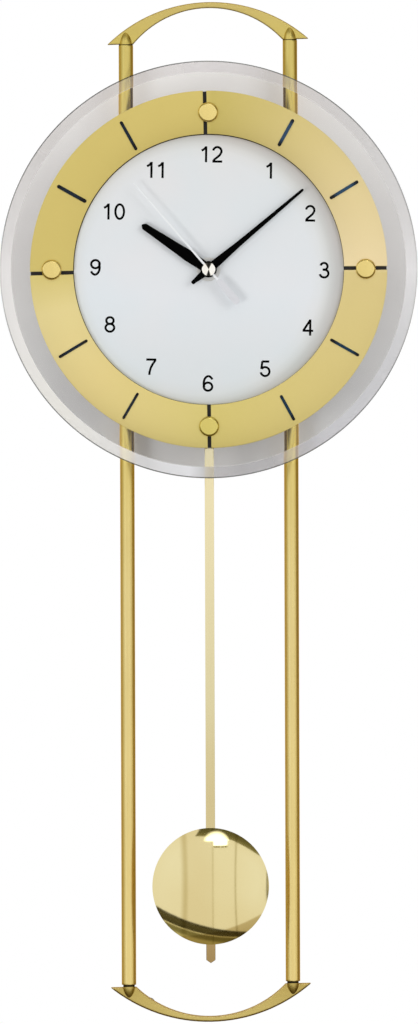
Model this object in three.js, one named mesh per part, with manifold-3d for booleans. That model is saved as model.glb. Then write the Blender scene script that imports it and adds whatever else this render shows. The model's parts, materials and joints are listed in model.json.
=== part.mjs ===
// A radio-controlled pendulum wall clock: a glass disc with a ring dial, carried on two upright rods.
// Millimetres. +X is to the right of a viewer who faces the dial, +Z is up and the wall is the plane y = 0,
// so the clock's front faces -Y. A depth is a distance in front of the wall, measured along -Y.
// The origin is the point where the nail bears in the keyhole of the hanger plate.
import * as THREE from "three";
import { mergeVertices } from "three/addons/utils/BufferGeometryUtils.js";
import Module from "manifold-3d";

const wasm = await Module();
wasm.setup();

// Clearances
const FIT = 0.3; // between neighbouring pieces, and round a shaft in a plain hole
const PIPE_FIT = 0.2; // between pipes that turn inside each other
const PUSH_FIT = 0.15; // between a hand and the pipe that it is pushed on
const THROUGH = 1; // how far a cutting tool runs past the face that it cuts

// Rods and the two yokes that join their ends
const ROD_DIAMETER = 8.5;
const ROD_SPACING = 96.5;
const ROD_LENGTH = 553.4;
const ROD_RISE = 134; // rod tops above the axis of the hands
const ROD_DEPTH = 12; // rod axes in front of the wall
const ROD_BORE = 7;
const ROD_BORE_LENGTH = 12;
const YOKE_SPAN = 118.8;
const YOKE_INNER_SPAN = 87.8;
const YOKE_THICKNESS = 4;
const YOKE_WAIST = 3.5; // height of the arch at its middle
const TOP_YOKE_RISE = 23.4;
const TOP_YOKE_GAP = 0.4; // between a rod's end and the yoke's foot
const BOTTOM_YOKE_RISE = 21.7;
const BOTTOM_YOKE_GAP = 1.2;
const PEG_LENGTH = 9; // part of the yoke's peg inside the rod
const PEG_ROOT = 2; // part of it inside the boss
const BOSS_DIAMETER = 6.9;
const BOSS_MARGIN = 0.6; // from the boss's point to the edge of the arch

// Wall fittings
const AXIS_DROP = 60; // axis of the hands below the nail
const HANGER_WIDTH = 28;
const HANGER_TOP = 9; // above the nail
const HANGER_THICKNESS = 1.5;
const HANGER_FOOT_HEIGHT = 13;
const HANGER_FOOT_DROP = 3; // below the top of the case
const HANGER_FOOT_GAP = 2.3; // beside the set button
const KEYHOLE_DIAMETER = 9.2;
const KEYHOLE_DROP = 10; // centre of the round hole below the nail
const KEYHOLE_SLOT = 4.8;
const BUMPER_DIAMETER = 6;
const BUMPER_OFFSET = 36; // from the clock's middle

// Movement case, from the wall forwards
const CASE_STANDOFF = 8;
const CASE_WIDTH = 64;
const CASE_TOP = 52; // above the axis of the hands
const CASE_BOTTOM = 58; // below it
const CASE_DEPTH = 26.4;
const CASE_WALL = 1.5;
const FRONT_PLATE_THICKNESS = 1.6;

// Head: carrier, glass, backing, dial and ring
const CARRIER_THICKNESS = 2;
const CARRIER_TAB_WIDTH = 24;
const CARRIER_TAB_MARGIN = 6.7; // past the middle of the button's shank
const CLAMP_WIDTH = 16;
const CLAMP_HEIGHT = 14;
const CLAMP_RISE = 70; // above and below the axis of the hands
const CLAMP_WALL = 2.5; // behind the rod
const GLASS_DIAMETER = 245;
const GLASS_THICKNESS = 5;
const GLASS_RIM = 2.2;
const GLASS_BEVEL = 6.5;
const GLASS_HOLE_GAP = 1; // round the bush
const BACKING_THICKNESS = 1.2;
const BACKING_INSET = 0.4; // inside the ring's outer edge
const DIAL_THICKNESS = 0.8;
const DIAL_GAP = 0.7; // between the dial and the ring
const RING_OUTER = 209.6;
const RING_INNER = 158.8;
const RING_THICKNESS = 3;
const RING_GAP = 2.1; // between neighbouring segments
const HOURS = 12;
const STICK_WIDTH = 1.8;
const STICK_THICKNESS = 0.9;
const STICK_INNER_MARGIN = 2.9; // from the ring's inner edge
const STICK_OUTER_MARGIN = 4;
const BUTTON_DIAMETER = 11.8;
const BUTTON_RIM = 0.8;
const BUTTON_DOME = 2.4;
const BUTTON_CIRCLE = (RING_OUTER + RING_INNER) / 2;
const SHANK_DIAMETER = 4;
const SHANK_END = 0.5; // past its nut
const SHANK_NUT_WIDTH = 8; // across the flats
const SHANK_NUT_THICKNESS = 3.5;
const SHANK_NUT_FLATS = 6;

// Hands' pipes, bush and nut
const SECOND_ARBOR_DIAMETER = 1.2;
const MINUTE_PIPE_WALL = 0.7;
const MINUTE_PIPE_DIAMETER = SECOND_ARBOR_DIAMETER + 2 * (PIPE_FIT + MINUTE_PIPE_WALL);
const HOUR_PIPE_WALL = 0.8;
const HOUR_PIPE_DIAMETER = MINUTE_PIPE_DIAMETER + 2 * (PIPE_FIT + HOUR_PIPE_WALL);
const BUSH_WALL = 1.3;
const BUSH_DIAMETER = HOUR_PIPE_DIAMETER + 2 * (PIPE_FIT + BUSH_WALL);
const CENTRE_NUT_WALL = 2.9;
const CENTRE_NUT_DIAMETER = BUSH_DIAMETER + 2 * CENTRE_NUT_WALL;
const CENTRE_NUT_THICKNESS = 1.6;
const CENTRE_NUT_CHAMFER = 0.5;

// Hands
const HOUR_HAND_LENGTH = 47;
const HOUR_HAND_TIP = 3.9;
const HOUR_HAND_POINT = 1.6; // height of the pointed end
const HOUR_HAND_NOSE = 0.8; // width left at its very end
const HOUR_HAND_WIDTH = 7.3;
const HOUR_HAND_WIDEST = 14.4; // where, from the axis
const HOUR_HAND_ROOT = 5.9; // width at the axis
const HOUR_HAND_HUB = 8.4;
const HOUR_HAND_THICKNESS = 0.6;
const HOUR_HAND_GAP = 0.5; // in front of the centre nut
const MINUTE_HAND_LENGTH = 72.7;
const MINUTE_HAND_TIP = 1.3;
const MINUTE_HAND_POINT = 0.4;
const MINUTE_HAND_NOSE = 0.65;
const MINUTE_HAND_ROOT = 5.3;
const MINUTE_HAND_HUB = 9.6;
const MINUTE_HAND_TAIL = 12;
const MINUTE_HAND_TAIL_ROOT = 4;
const MINUTE_HAND_TAIL_TIP = 1.8;
const MINUTE_HAND_TAIL_POINT = 0.6;
const MINUTE_HAND_TAIL_NOSE = 0.9;
const MINUTE_HAND_THICKNESS = 0.5;
const MINUTE_HAND_GAP = 0.9; // in front of the hour hand
const SECOND_HAND_LENGTH = 67;
const SECOND_HAND_TIP = 0.7;
const SECOND_HAND_ROOT = 1.3;
const SECOND_HAND_NECK = 8; // from the axis to the paddle
const SECOND_HAND_TAIL = 22;
const PADDLE_ROOT = 4.2;
const PADDLE_SHOULDER = 1; // height over which the neck widens
const PADDLE_END = 5.4;
const PADDLE_CORNER = 0.9; // height of the corners cut from its end
const PADDLE_FLAT = 3.8; // width left between them
const SECOND_HAND_THICKNESS = 0.4;
const SECOND_HAND_GAP = 1.1; // in front of the minute hand
const CAP_DIAMETER = 7.9;
const CAP_RIM = 0.9;
const CAP_SHOULDER = 0.7;
const CAP_CROWN = 0.5;
const CAP_SHOULDER_WIDTH = 0.7;
const CAP_BORE_LENGTH = 1.5;
const PIPE_PROUD = 0.2; // a pipe's end in front of its hand

// The time that the hands show, as angles clockwise from twelve
const HOUR_HAND_ANGLE = 303.9;
const MINUTE_HAND_ANGLE = 50;
const SECOND_HAND_ANGLE = 319.1;

// Gear trains. Each motor turns its own hand through a reduction wheel, thirty to one.
const TRAIN_MODULE = 0.4;
const ROTOR_PINION_TEETH = 6;
const REDUCTION_WHEEL_TEETH = 30;
const REDUCTION_PINION_TEETH = 6;
const CENTRE_WHEEL_TEETH = 36;
const SECOND_TRAIN_DIRECTION = 200; // degrees from +X towards +Z, from the hands' axis to the motor
const MINUTE_TRAIN_DIRECTION = -20;
const MOTION_MODULE = 0.5;
const MINUTE_PINION_TEETH = 8;
const MOTION_WHEEL_TEETH = 24;
const MOTION_PINION_TEETH = 6;
const HOUR_WHEEL_TEETH = 24;
const MOTION_DIRECTION = 90;
const WHEEL_THICKNESS = 1.4;
const MOTION_THICKNESS = 2;
const LEVEL_GAP = 0.6; // between wheels one behind the other
const ARBOR_DIAMETER = 1;
const COLLAR_DIAMETER = 2;
const ARBOR_TAIL = 1.2; // behind the rearmost wheel of an arbor
const POST_DIAMETER = 3;
const MAGNET_DIAMETER = 6;
const MAGNET_THICKNESS = 3;

// Tooth form, as shares of the module
const ADDENDUM = 0.8;
const DEDENDUM = 1.15;
const TOOTH_TIP = 0.5; // width of a tooth at its tip
const TOOTH_ROOT = 2; // and at its root

// Motor coils
const STATOR_THICKNESS = 1;
const STATOR_HEIGHT = 10;
const STATOR_LIP = 1.4; // round the rotor's magnet, on the side of the hands' axis
const COIL_WIDTH = 7;
const COIL_HEIGHT = 22;
const COIL_THICKNESS = 7.8;
const COIL_SIDE_GAP = 1.3; // between the coil and the wall of the case
const COIL_PAD_WIDTH = 5;
const COIL_PAD_HEIGHT = 16;

// Battery, board, aerial and set button
const BATTERY_DIAMETER = 14.5;
const BATTERY_LENGTH = 49;
const BATTERY_NIPPLE = 1.5;
const BATTERY_NIPPLE_DIAMETER = 5.5;
const BATTERY_DROP = 28; // below the top of the case
const BATTERY_DEPTH = 18;
const BAY_WALL = 1.2;
const BAY_WALL_DEPTH = 17;
const BOARD_SIDE_GAP = 1.5; // inside the walls of the case
const BOARD_HEIGHT = 15;
const BOARD_THICKNESS = 1.6;
const BOARD_GAP = 2.5; // behind the board
const BOARD_POST_OFFSET = 12;
const CHIP_SIZE = 9;
const CHIP_THICKNESS = 1.4;
const AERIAL_DIAMETER = 8;
const AERIAL_SIDE_GAP = 3.5;
const AERIAL_COIL_DIAMETER = 10;
const AERIAL_COIL_LENGTH = 24;
const AERIAL_DEPTH = 22;
const AERIAL_RIB_OFFSET = 20;
const AERIAL_RIB_WIDTH = 2;
const AERIAL_RIB_DEPTH = 6;
const UPPER_BAY_DROP = 10; // aerial, board and set button below the top of the case
const SET_BUTTON_DIAMETER = 4.4;
const SET_BUTTON_FLANGE = 6.4;
const SET_BUTTON_FLANGE_THICKNESS = 1;
const SET_BUTTON_PROUD = 1.2;
const SET_BUTTON_SIDE_GAP = 6; // from the wall of the case to the button's axis

// Pendulum
const PIVOT_RISE = 30; // above the bottom of the case
const PIVOT_DIAMETER = 2.4;
const PIVOT_SHOULDER = 6;
const RETAINER_DIAMETER = 4.4;
const LEVER_DEPTH = 22.2;
const LEVER_THICKNESS = 3;
const LEVER_WIDTH = 4;
const LEVER_HUB = 7;
const LEVER_END = 5;
const LEVER_MAGNET_DIAMETER = 10;
const LEVER_MAGNET_THICKNESS = 3;
const LEVER_MAGNET_DROP = 18; // below the pivot
const DRIVE_COIL_DIAMETER = 16;
const DRIVE_COIL_BORE = 6;
const DRIVE_COIL_GAP = 0.6;
const HOOK_DROP = 40; // hook pin below the pivot
const HOOK_DIAMETER = 2;
const HOOK_PROUD = 1; // in front of the strip
const SLOT_WIDTH = 15; // where the lever leaves the case
const SLOT_MARGIN = 1.7; // behind and in front of the lever
const STRIP_WIDTH = 5.4;
const STRIP_THICKNESS = 1;
const STRIP_LENGTH = 339.4; // from the hook pin to the tip
const STRIP_HEAD = 5; // above the hook pin
const STRIP_POINT = 1.9;
const BOB_DIAMETER = 68.5;
const BOB_DOME = 7;
const BOB_RIM = 0.8;
const BOB_SHELL = 0.8;
const BOB_ABOVE_TIP = 45.2;

// How finely round shapes are divided
const ROD_SIDES = 24;
const DISC_SIDES = 96;
const SMALL_SIDES = 12;
const TINY_SIDES = 8;
const TURNED_SIDES = 20;
const BOB_SIDES = 40;
const ARCH_STEPS = 28;
const QUADRANT_STEPS = 18;
const DOME_STEPS = 4;
const STICK_END_STEPS = 5;
const MERGE_DISTANCE = 1e-4; // corners nearer than this are one corner

// Depths of the faces, from the wall forwards
const caseFloor = CASE_STANDOFF + CASE_WALL;
const caseFront = CASE_STANDOFF + CASE_DEPTH;
const carrierBack = caseFront + FRONT_PLATE_THICKNESS;
const glassBack = carrierBack + CARRIER_THICKNESS;
const glassFront = glassBack + GLASS_THICKNESS;
const backingFront = glassFront + BACKING_THICKNESS;
const dialFront = backingFront + DIAL_THICKNESS;
const ringFront = backingFront + RING_THICKNESS;
const centreNutFront = dialFront + CENTRE_NUT_THICKNESS;
const hourHandBack = centreNutFront + HOUR_HAND_GAP;
const hourHandFront = hourHandBack + HOUR_HAND_THICKNESS;
const minuteHandBack = hourHandFront + MINUTE_HAND_GAP;
const minuteHandFront = minuteHandBack + MINUTE_HAND_THICKNESS;
const secondHandBack = minuteHandFront + SECOND_HAND_GAP;
const secondHandFront = secondHandBack + SECOND_HAND_THICKNESS;

// Wheel levels, from the front plate backwards
const levelBehind = (front, thickness) => ({ front: front - LEVEL_GAP, back: front - LEVEL_GAP - thickness });
const hourLevel = levelBehind(caseFront, MOTION_THICKNESS);
const motionLevel = levelBehind(hourLevel.back, MOTION_THICKNESS);
const minuteLevel = levelBehind(motionLevel.back, WHEEL_THICKNESS);
const minuteReductionLevel = levelBehind(minuteLevel.back, WHEEL_THICKNESS);
const secondLevel = levelBehind(minuteReductionLevel.back, WHEEL_THICKNESS);
const secondReductionLevel = levelBehind(secondLevel.back, WHEEL_THICKNESS);
const minuteMagnetLevel = levelBehind(minuteReductionLevel.back, MAGNET_THICKNESS);
const secondMagnetLevel = levelBehind(secondReductionLevel.back, MAGNET_THICKNESS);
const arborFront = caseFront - FIT;

// Places of the arbors, from the axis of the hands
const TURN = Math.PI * 2;
const radians = THREE.MathUtils.degToRad;
const polar = (distance, degrees) => ({
  x: distance * Math.cos(radians(degrees)),
  z: distance * Math.sin(radians(degrees)),
});
const meshDistance = (module, teeth, otherTeeth) => (module * (teeth + otherTeeth)) / 2;
const reductionDistance = meshDistance(TRAIN_MODULE, CENTRE_WHEEL_TEETH, REDUCTION_PINION_TEETH);
const rotorDistance = reductionDistance + meshDistance(TRAIN_MODULE, REDUCTION_WHEEL_TEETH, ROTOR_PINION_TEETH);
const motionDistance = meshDistance(MOTION_MODULE, MINUTE_PINION_TEETH, MOTION_WHEEL_TEETH);
const hourModule = (2 * motionDistance) / (MOTION_PINION_TEETH + HOUR_WHEEL_TEETH);
const secondReductionAt = polar(reductionDistance, SECOND_TRAIN_DIRECTION);
const secondRotorAt = polar(rotorDistance, SECOND_TRAIN_DIRECTION);
const minuteReductionAt = polar(reductionDistance, MINUTE_TRAIN_DIRECTION);
const minuteRotorAt = polar(rotorDistance, MINUTE_TRAIN_DIRECTION);
const motionAt = polar(motionDistance, MOTION_DIRECTION);

// Places inside the case, from the axis of the hands
const hollowSide = CASE_WIDTH / 2 - CASE_WALL;
const coilOffset = hollowSide - COIL_SIDE_GAP - COIL_WIDTH / 2;
const batteryRise = CASE_TOP - BATTERY_DROP;
const upperBay = CASE_TOP - UPPER_BAY_DROP;
const setButtonAt = { x: hollowSide - SET_BUTTON_SIDE_GAP, z: upperBay };
const pivotDrop = CASE_BOTTOM - PIVOT_RISE;

// Pendulum depths
const leverFront = LEVER_DEPTH + LEVER_THICKNESS;
const magnetBack = LEVER_DEPTH - LEVER_MAGNET_THICKNESS;
const stripBack = leverFront + FIT;
const stripFront = stripBack + STRIP_THICKNESS;
const bobFace = stripFront + FIT; // where the two halves of the bob meet

// Finishes
const SATIN_GOLD = { color: 0xd2b866, roughness: 0.38, metalness: 1 };
const BRUSHED_GOLD = { color: 0xd8c27c, roughness: 0.42, metalness: 1 };
const POLISHED_BRASS = { color: 0xe0cf8e, roughness: 0.08, metalness: 1 };
const GLASS = { color: 0xdfe3e4, roughness: 0.02, metalness: 0 };
const BLACK_LACQUER = { color: 0x111216, roughness: 0.35, metalness: 0 };
const DIAL_SILVER = { color: 0xe2e5ea, roughness: 0.5, metalness: 0.2 };
const HAND_BLACK = { color: 0x0c0c0e, roughness: 0.4, metalness: 0 };
const HAND_WHITE = { color: 0xeef0f2, roughness: 0.35, metalness: 0.3 };
const BRIGHT_METAL = { color: 0xc9ccd0, roughness: 0.2, metalness: 1 };
const ZINC_STEEL = { color: 0x9fa4a8, roughness: 0.4, metalness: 1 };
const BLACK_PLASTIC = { color: 0x1c1d20, roughness: 0.55, metalness: 0 };
const WHITE_PLASTIC = { color: 0xe9e7df, roughness: 0.5, metalness: 0 };
const COPPER_WIRE = { color: 0xb5652d, roughness: 0.35, metalness: 0.8 };
const FERRITE = { color: 0x2b2a2c, roughness: 0.7, metalness: 0 };
const GREEN_BOARD = { color: 0x1f5a3a, roughness: 0.5, metalness: 0 };
const BATTERY_WRAP = { color: 0x6f7478, roughness: 0.35, metalness: 0.3 };
const GREY_RUBBER = { color: 0x5b5d60, roughness: 0.9, metalness: 0 };

// Signed volume of a closed set of triangles, negative when its faces point in.
function signedVolume(corners, triangles) {
  const [a, b, c] = [new THREE.Vector3(), new THREE.Vector3(), new THREE.Vector3()];
  let volume = 0;
  for (let i = 0; i < triangles.length; i += 3) {
    a.fromBufferAttribute(corners, triangles[i]);
    b.fromBufferAttribute(corners, triangles[i + 1]);
    c.fromBufferAttribute(corners, triangles[i + 2]);
    volume += a.dot(b.cross(c)) / 6;
  }
  return volume;
}

// A solid from a closed geometry. Triangles that shrink to a line on a turning axis are left out.
function solid(geometry) {
  const bare = geometry.clone();
  bare.deleteAttribute("normal");
  bare.deleteAttribute("uv");
  const merged = mergeVertices(bare, MERGE_DISTANCE);
  const corners = merged.getAttribute("position");
  const index = merged.index.array;
  const triangles = [];
  for (let i = 0; i < index.length; i += 3) {
    const [a, b, c] = [index[i], index[i + 1], index[i + 2]];
    if (a !== b && b !== c && c !== a) triangles.push(a, b, c);
  }
  if (signedVolume(corners, triangles) < 0) triangles.reverse();
  const vertProperties = new Float32Array(corners.array);
  return new wasm.Manifold(new wasm.Mesh({ numProp: 3, vertProperties, triVerts: new Uint32Array(triangles) }));
}

// The geometry of a solid, for a mesh.
function geometryOf(body) {
  const { vertProperties, triVerts } = body.getMesh();
  const geometry = new THREE.BufferGeometry();
  geometry.setAttribute("position", new THREE.BufferAttribute(new Float32Array(vertProperties), 3));
  geometry.setIndex(new THREE.BufferAttribute(new Uint32Array(triVerts), 1));
  geometry.computeVertexNormals();
  return geometry;
}

// Puts a geometry of unit size in place: each row gives the three factors and the offset of one axis.
function placed(geometry, xRow, yRow, zRow) {
  geometry.applyMatrix4(new THREE.Matrix4().set(...xRow, ...yRow, ...zRow, 0, 0, 0, 1));
  return solid(geometry);
}

// A flat plate cut from an outline in the plane of the dial, between two depths.
function plate(outline, back, front) {
  const geometry = new THREE.ExtrudeGeometry(outline, { depth: 1, bevelEnabled: false });
  return placed(geometry, [1, 0, 0, 0], [0, 0, back - front, -back], [0, 1, 0, 0]);
}

// A block between two sides, two heights and two depths.
function block(left, right, bottom, top, back, front) {
  return placed(
    new THREE.BoxGeometry(1, 1, 1),
    [right - left, 0, 0, (left + right) / 2],
    [0, front - back, 0, -(back + front) / 2],
    [0, 0, top - bottom, (bottom + top) / 2],
  );
}

// A round bar that points at the viewer.
function pin(diameter, back, front, sides, at = { x: 0, z: 0 }) {
  const geometry = new THREE.CylinderGeometry(diameter / 2, diameter / 2, 1, sides);
  return placed(geometry, [1, 0, 0, at.x], [0, front - back, 0, -(back + front) / 2], [0, 0, 1, at.z]);
}

// A round bar that stands upright.
function upright(diameter, bottom, top, sides, x, depth) {
  const geometry = new THREE.CylinderGeometry(diameter / 2, diameter / 2, 1, sides);
  return placed(geometry, [1, 0, 0, x], [0, 0, -1, -depth], [0, top - bottom, 0, (bottom + top) / 2]);
}

// A round bar that lies along X.
function crosswise(diameter, left, right, sides, depth, height) {
  const geometry = new THREE.CylinderGeometry(diameter / 2, diameter / 2, 1, sides);
  return placed(geometry, [0, right - left, 0, (left + right) / 2], [0, 0, 1, -depth], [1, 0, 0, height]);
}

// A turned piece about an axis that points at the viewer, from pairs of radius and depth.
function turned(profile, sides) {
  const points = profile.map(([radius, depth]) => new THREE.Vector2(radius, -depth));
  return solid(new THREE.LatheGeometry(points, sides));
}

// A turned piece about an upright axis through the origin, from pairs of radius and height.
function turnedUpright(profile, sides) {
  const points = profile.map(([radius, height]) => new THREE.Vector2(radius, height));
  return placed(new THREE.LatheGeometry(points, sides), [1, 0, 0, 0], [0, 0, -1, 0], [0, 1, 0, 0]);
}

// Points along an arc in the plane of the dial. Angles run from +X towards +Z.
function arc(radius, from, to, steps, x = 0, z = 0) {
  return Array.from({ length: steps + 1 }, (_, step) => {
    const angle = from + ((to - from) * step) / steps;
    return new THREE.Vector2(x + radius * Math.cos(angle), z + radius * Math.sin(angle));
  });
}

function circle(diameter, sides, at = { x: 0, z: 0 }) {
  return arc(diameter / 2, 0, TURN, sides, at.x, at.z).slice(0, -1);
}

// A round disc with round holes in it, each hole given by its diameter and place.
function disc(diameter, holes, back, front) {
  const outline = new THREE.Shape(circle(diameter, DISC_SIDES));
  outline.holes = holes.map((hole) => new THREE.Path(circle(hole.diameter, SMALL_SIDES, hole.at)));
  return plate(outline, back, front);
}

// An outline with the same shape on both sides of the upright line x = 0, from pairs of height and width.
function symmetric(stations) {
  const right = stations.map(([height, width]) => new THREE.Vector2(width / 2, height));
  const left = stations.map(([height, width]) => new THREE.Vector2(-width / 2, height)).reverse();
  return new THREE.Shape([...right, ...left]);
}

// Groups: everything in the head is measured from the axis of the hands, the pendulum from its pivot.
const clock = new THREE.Group();
const head = new THREE.Group();
head.position.z = -AXIS_DROP;
clock.add(head);
const pendulum = new THREE.Group();
pendulum.position.z = -pivotDrop;
head.add(pendulum);

function piece(parent, name, body, finish) {
  const mesh = new THREE.Mesh(geometryOf(body), new THREE.MeshStandardMaterial(finish));
  mesh.name = name;
  parent.add(mesh);
  return mesh;
}

// Rods: each end is bored for the peg of a yoke.
const rodBottom = ROD_RISE - ROD_LENGTH;

function rod(x) {
  const bore = (bottom, top) => upright(ROD_BORE, bottom, top, SMALL_SIDES, x, ROD_DEPTH);
  return upright(ROD_DIAMETER, rodBottom, ROD_RISE, ROD_SIDES, x, ROD_DEPTH)
    .subtract(bore(ROD_RISE - ROD_BORE_LENGTH, ROD_RISE + THROUGH))
    .subtract(bore(rodBottom - THROUGH, rodBottom + ROD_BORE_LENGTH));
}

// Height of an arch of given half span and rise, at a distance from its middle.
function archHeight(halfSpan, rise, x) {
  const radius = (halfSpan ** 2 + rise ** 2) / (2 * rise);
  return Math.sqrt(radius ** 2 - x ** 2) - (radius - rise);
}

function archPoints(halfSpan, rise) {
  const radius = (halfSpan ** 2 + rise ** 2) / (2 * rise);
  const spread = Math.asin(halfSpan / radius);
  return arc(radius, TURN / 4 + spread, TURN / 4 - spread, ARCH_STEPS, 0, rise - radius);
}

// A yoke: two arcs that meet level feet in sharp points, with a pointed boss and a peg over each rod.
// It is measured from the level of its feet, with the arch upwards.
function yoke(rise, gap) {
  const outer = archPoints(YOKE_SPAN / 2, rise);
  const inner = archPoints(YOKE_INNER_SPAN / 2, rise - YOKE_WAIST).reverse();
  const outline = new THREE.Shape([...outer, ...inner]);
  let body = plate(outline, ROD_DEPTH - YOKE_THICKNESS / 2, ROD_DEPTH + YOKE_THICKNESS / 2);
  const bossHeight = archHeight(YOKE_SPAN / 2, rise, ROD_SPACING / 2) - BOSS_MARGIN;
  const bossProfile = [[0, 0]];
  for (let step = 0; step <= DOME_STEPS; step += 1) {
    const share = step / DOME_STEPS;
    bossProfile.push([(BOSS_DIAMETER / 2) * (1 - share ** 2), share * bossHeight]);
  }
  const boss = turnedUpright(bossProfile, SMALL_SIDES);
  for (const x of [-ROD_SPACING / 2, ROD_SPACING / 2]) {
    const peg = upright(ROD_BORE - 2 * FIT, -gap - PEG_LENGTH, PEG_ROOT, SMALL_SIDES, x, ROD_DEPTH);
    body = body.add(boss.translate([x, -ROD_DEPTH, 0])).add(peg);
  }
  return body;
}

piece(head, "left_rod", rod(-ROD_SPACING / 2), SATIN_GOLD);
piece(head, "right_rod", rod(ROD_SPACING / 2), SATIN_GOLD);
piece(head, "top_yoke", yoke(TOP_YOKE_RISE, TOP_YOKE_GAP), BRUSHED_GOLD).position.z = ROD_RISE + TOP_YOKE_GAP;
const bottomYoke = piece(head, "bottom_yoke", yoke(BOTTOM_YOKE_RISE, BOTTOM_YOKE_GAP), BRUSHED_GOLD);
const bottomYokeFeet = rodBottom - BOTTOM_YOKE_GAP;
bottomYoke.position.z = bottomYokeFeet;
bottomYoke.rotation.y = Math.PI;

// Rubber bumpers that keep the lower end off the wall, on the flat back of the bottom yoke.
const bumperDrop =
  (archHeight(YOKE_SPAN / 2, BOTTOM_YOKE_RISE, BUMPER_OFFSET) +
    archHeight(YOKE_INNER_SPAN / 2, BOTTOM_YOKE_RISE - YOKE_WAIST, BUMPER_OFFSET)) / 2;

function bumper(x) {
  const seat = { x, z: bottomYokeFeet - bumperDrop };
  return pin(BUMPER_DIAMETER, 0, ROD_DEPTH - YOKE_THICKNESS / 2, SMALL_SIDES, seat);
}

piece(head, "wall_bumper_left", bumper(-BUMPER_OFFSET), GREY_RUBBER);
piece(head, "wall_bumper_right", bumper(BUMPER_OFFSET), GREY_RUBBER);

// Clamps that hang the head on the rods.
function rodClamp(x, z) {
  const back = ROD_DEPTH - ROD_DIAMETER / 2 - FIT - CLAMP_WALL;
  const half = CLAMP_HEIGHT / 2;
  const bore = upright(ROD_DIAMETER + 2 * FIT, z - half - THROUGH, z + half + THROUGH, ROD_SIDES, x, ROD_DEPTH);
  return block(x - CLAMP_WIDTH / 2, x + CLAMP_WIDTH / 2, z - half, z + half, back, carrierBack).subtract(bore);
}

for (const [side, x] of [["left", -ROD_SPACING / 2], ["right", ROD_SPACING / 2]]) {
  piece(head, `rod_clamp_upper_${side}`, rodClamp(x, CLAMP_RISE), ZINC_STEEL);
  piece(head, `rod_clamp_lower_${side}`, rodClamp(x, -CLAMP_RISE), ZINC_STEEL);
}

// Hanger: a plate with a keyhole, on two legs whose feet are fixed to the back of the movement case.
function hangerPlate() {
  const half = HANGER_WIDTH / 2;
  const footTop = CASE_TOP - AXIS_DROP - HANGER_FOOT_DROP;
  const bottom = footTop - HANGER_FOOT_HEIGHT;
  const footEnd = setButtonAt.x - SET_BUTTON_DIAMETER / 2 - HANGER_FOOT_GAP;
  let body = block(-half, half, bottom, HANGER_TOP, 0, HANGER_THICKNESS);
  for (const side of [-1, 1]) {
    const [inner, outer, toe] = [half - HANGER_THICKNESS, half, footEnd].map((x) => side * x);
    const leg = block(Math.min(inner, outer), Math.max(inner, outer), bottom, footTop, 0, CASE_STANDOFF);
    const footBack = CASE_STANDOFF - HANGER_THICKNESS;
    const foot = block(Math.min(inner, toe), Math.max(inner, toe), bottom, footTop, footBack, CASE_STANDOFF);
    body = body.add(leg).add(foot);
  }
  const slotTop = -KEYHOLE_SLOT / 2;
  const cutFront = HANGER_THICKNESS + THROUGH;
  const slot = block(-KEYHOLE_SLOT / 2, KEYHOLE_SLOT / 2, -KEYHOLE_DROP, slotTop, -THROUGH, cutFront);
  const slotEnd = pin(KEYHOLE_SLOT, -THROUGH, cutFront, SMALL_SIDES, { x: 0, z: slotTop });
  const roundHole = pin(KEYHOLE_DIAMETER, -THROUGH, cutFront, ROD_SIDES, { x: 0, z: -KEYHOLE_DROP });
  return body.subtract(slot.add(slotEnd).add(roundHole));
}

piece(clock, "hanger_plate", hangerPlate(), ZINC_STEEL);

// Holes that the four ring buttons pass through, at twelve, three, six and nine.
const QUARTERS = [
  ["12", 90],
  ["03", 0],
  ["06", -90],
  ["09", 180],
];
const buttonAt = (degrees) => polar(BUTTON_CIRCLE / 2, degrees);
const shankHole = (degrees) => ({ diameter: SHANK_DIAMETER + 2 * FIT, at: buttonAt(degrees) });
const shankHoles = QUARTERS.map(([, degrees]) => shankHole(degrees));
const onTab = (degrees) => Math.abs(degrees) === 90; // the upper and the lower button go through the carrier
const bushHole = { diameter: BUSH_DIAMETER + 2 * FIT };

// Carrier: a steel plate that joins the clamps, with a tab behind the upper and the lower button.
function carrierPlate() {
  const halfWidth = ROD_SPACING / 2 + CLAMP_WIDTH / 2;
  const halfHeight = CLAMP_RISE + CLAMP_HEIGHT / 2;
  const halfTab = CARRIER_TAB_WIDTH / 2;
  const tabEnd = BUTTON_CIRCLE / 2 + CARRIER_TAB_MARGIN;
  let body = block(-halfWidth, halfWidth, -halfHeight, halfHeight, carrierBack, glassBack);
  body = body.add(block(-halfTab, halfTab, -tabEnd, tabEnd, carrierBack, glassBack));
  const tabHoles = QUARTERS.filter(([, degrees]) => onTab(degrees)).map(([, degrees]) => shankHole(degrees));
  for (const hole of [bushHole, ...tabHoles]) {
    body = body.subtract(pin(hole.diameter, carrierBack - THROUGH, glassBack + THROUGH, SMALL_SIDES, hole.at));
  }
  return body;
}

// Glass: a disc with a wide bevel round its front, drilled for the bush and the four shanks.
function glassDisc() {
  const radius = GLASS_DIAMETER / 2;
  const hole = BUSH_DIAMETER / 2 + GLASS_HOLE_GAP;
  const profile = [
    [hole, glassBack],
    [radius, glassBack],
    [radius, glassBack + GLASS_RIM],
    [radius - GLASS_BEVEL, glassFront],
    [hole, glassFront],
    [hole, glassBack],
  ];
  const drill = ({ diameter, at }) => pin(diameter, glassBack - THROUGH, glassFront + THROUGH, SMALL_SIDES, at);
  return shankHoles.reduce((body, shank) => body.subtract(drill(shank)), turned(profile, DISC_SIDES));
}

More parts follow.
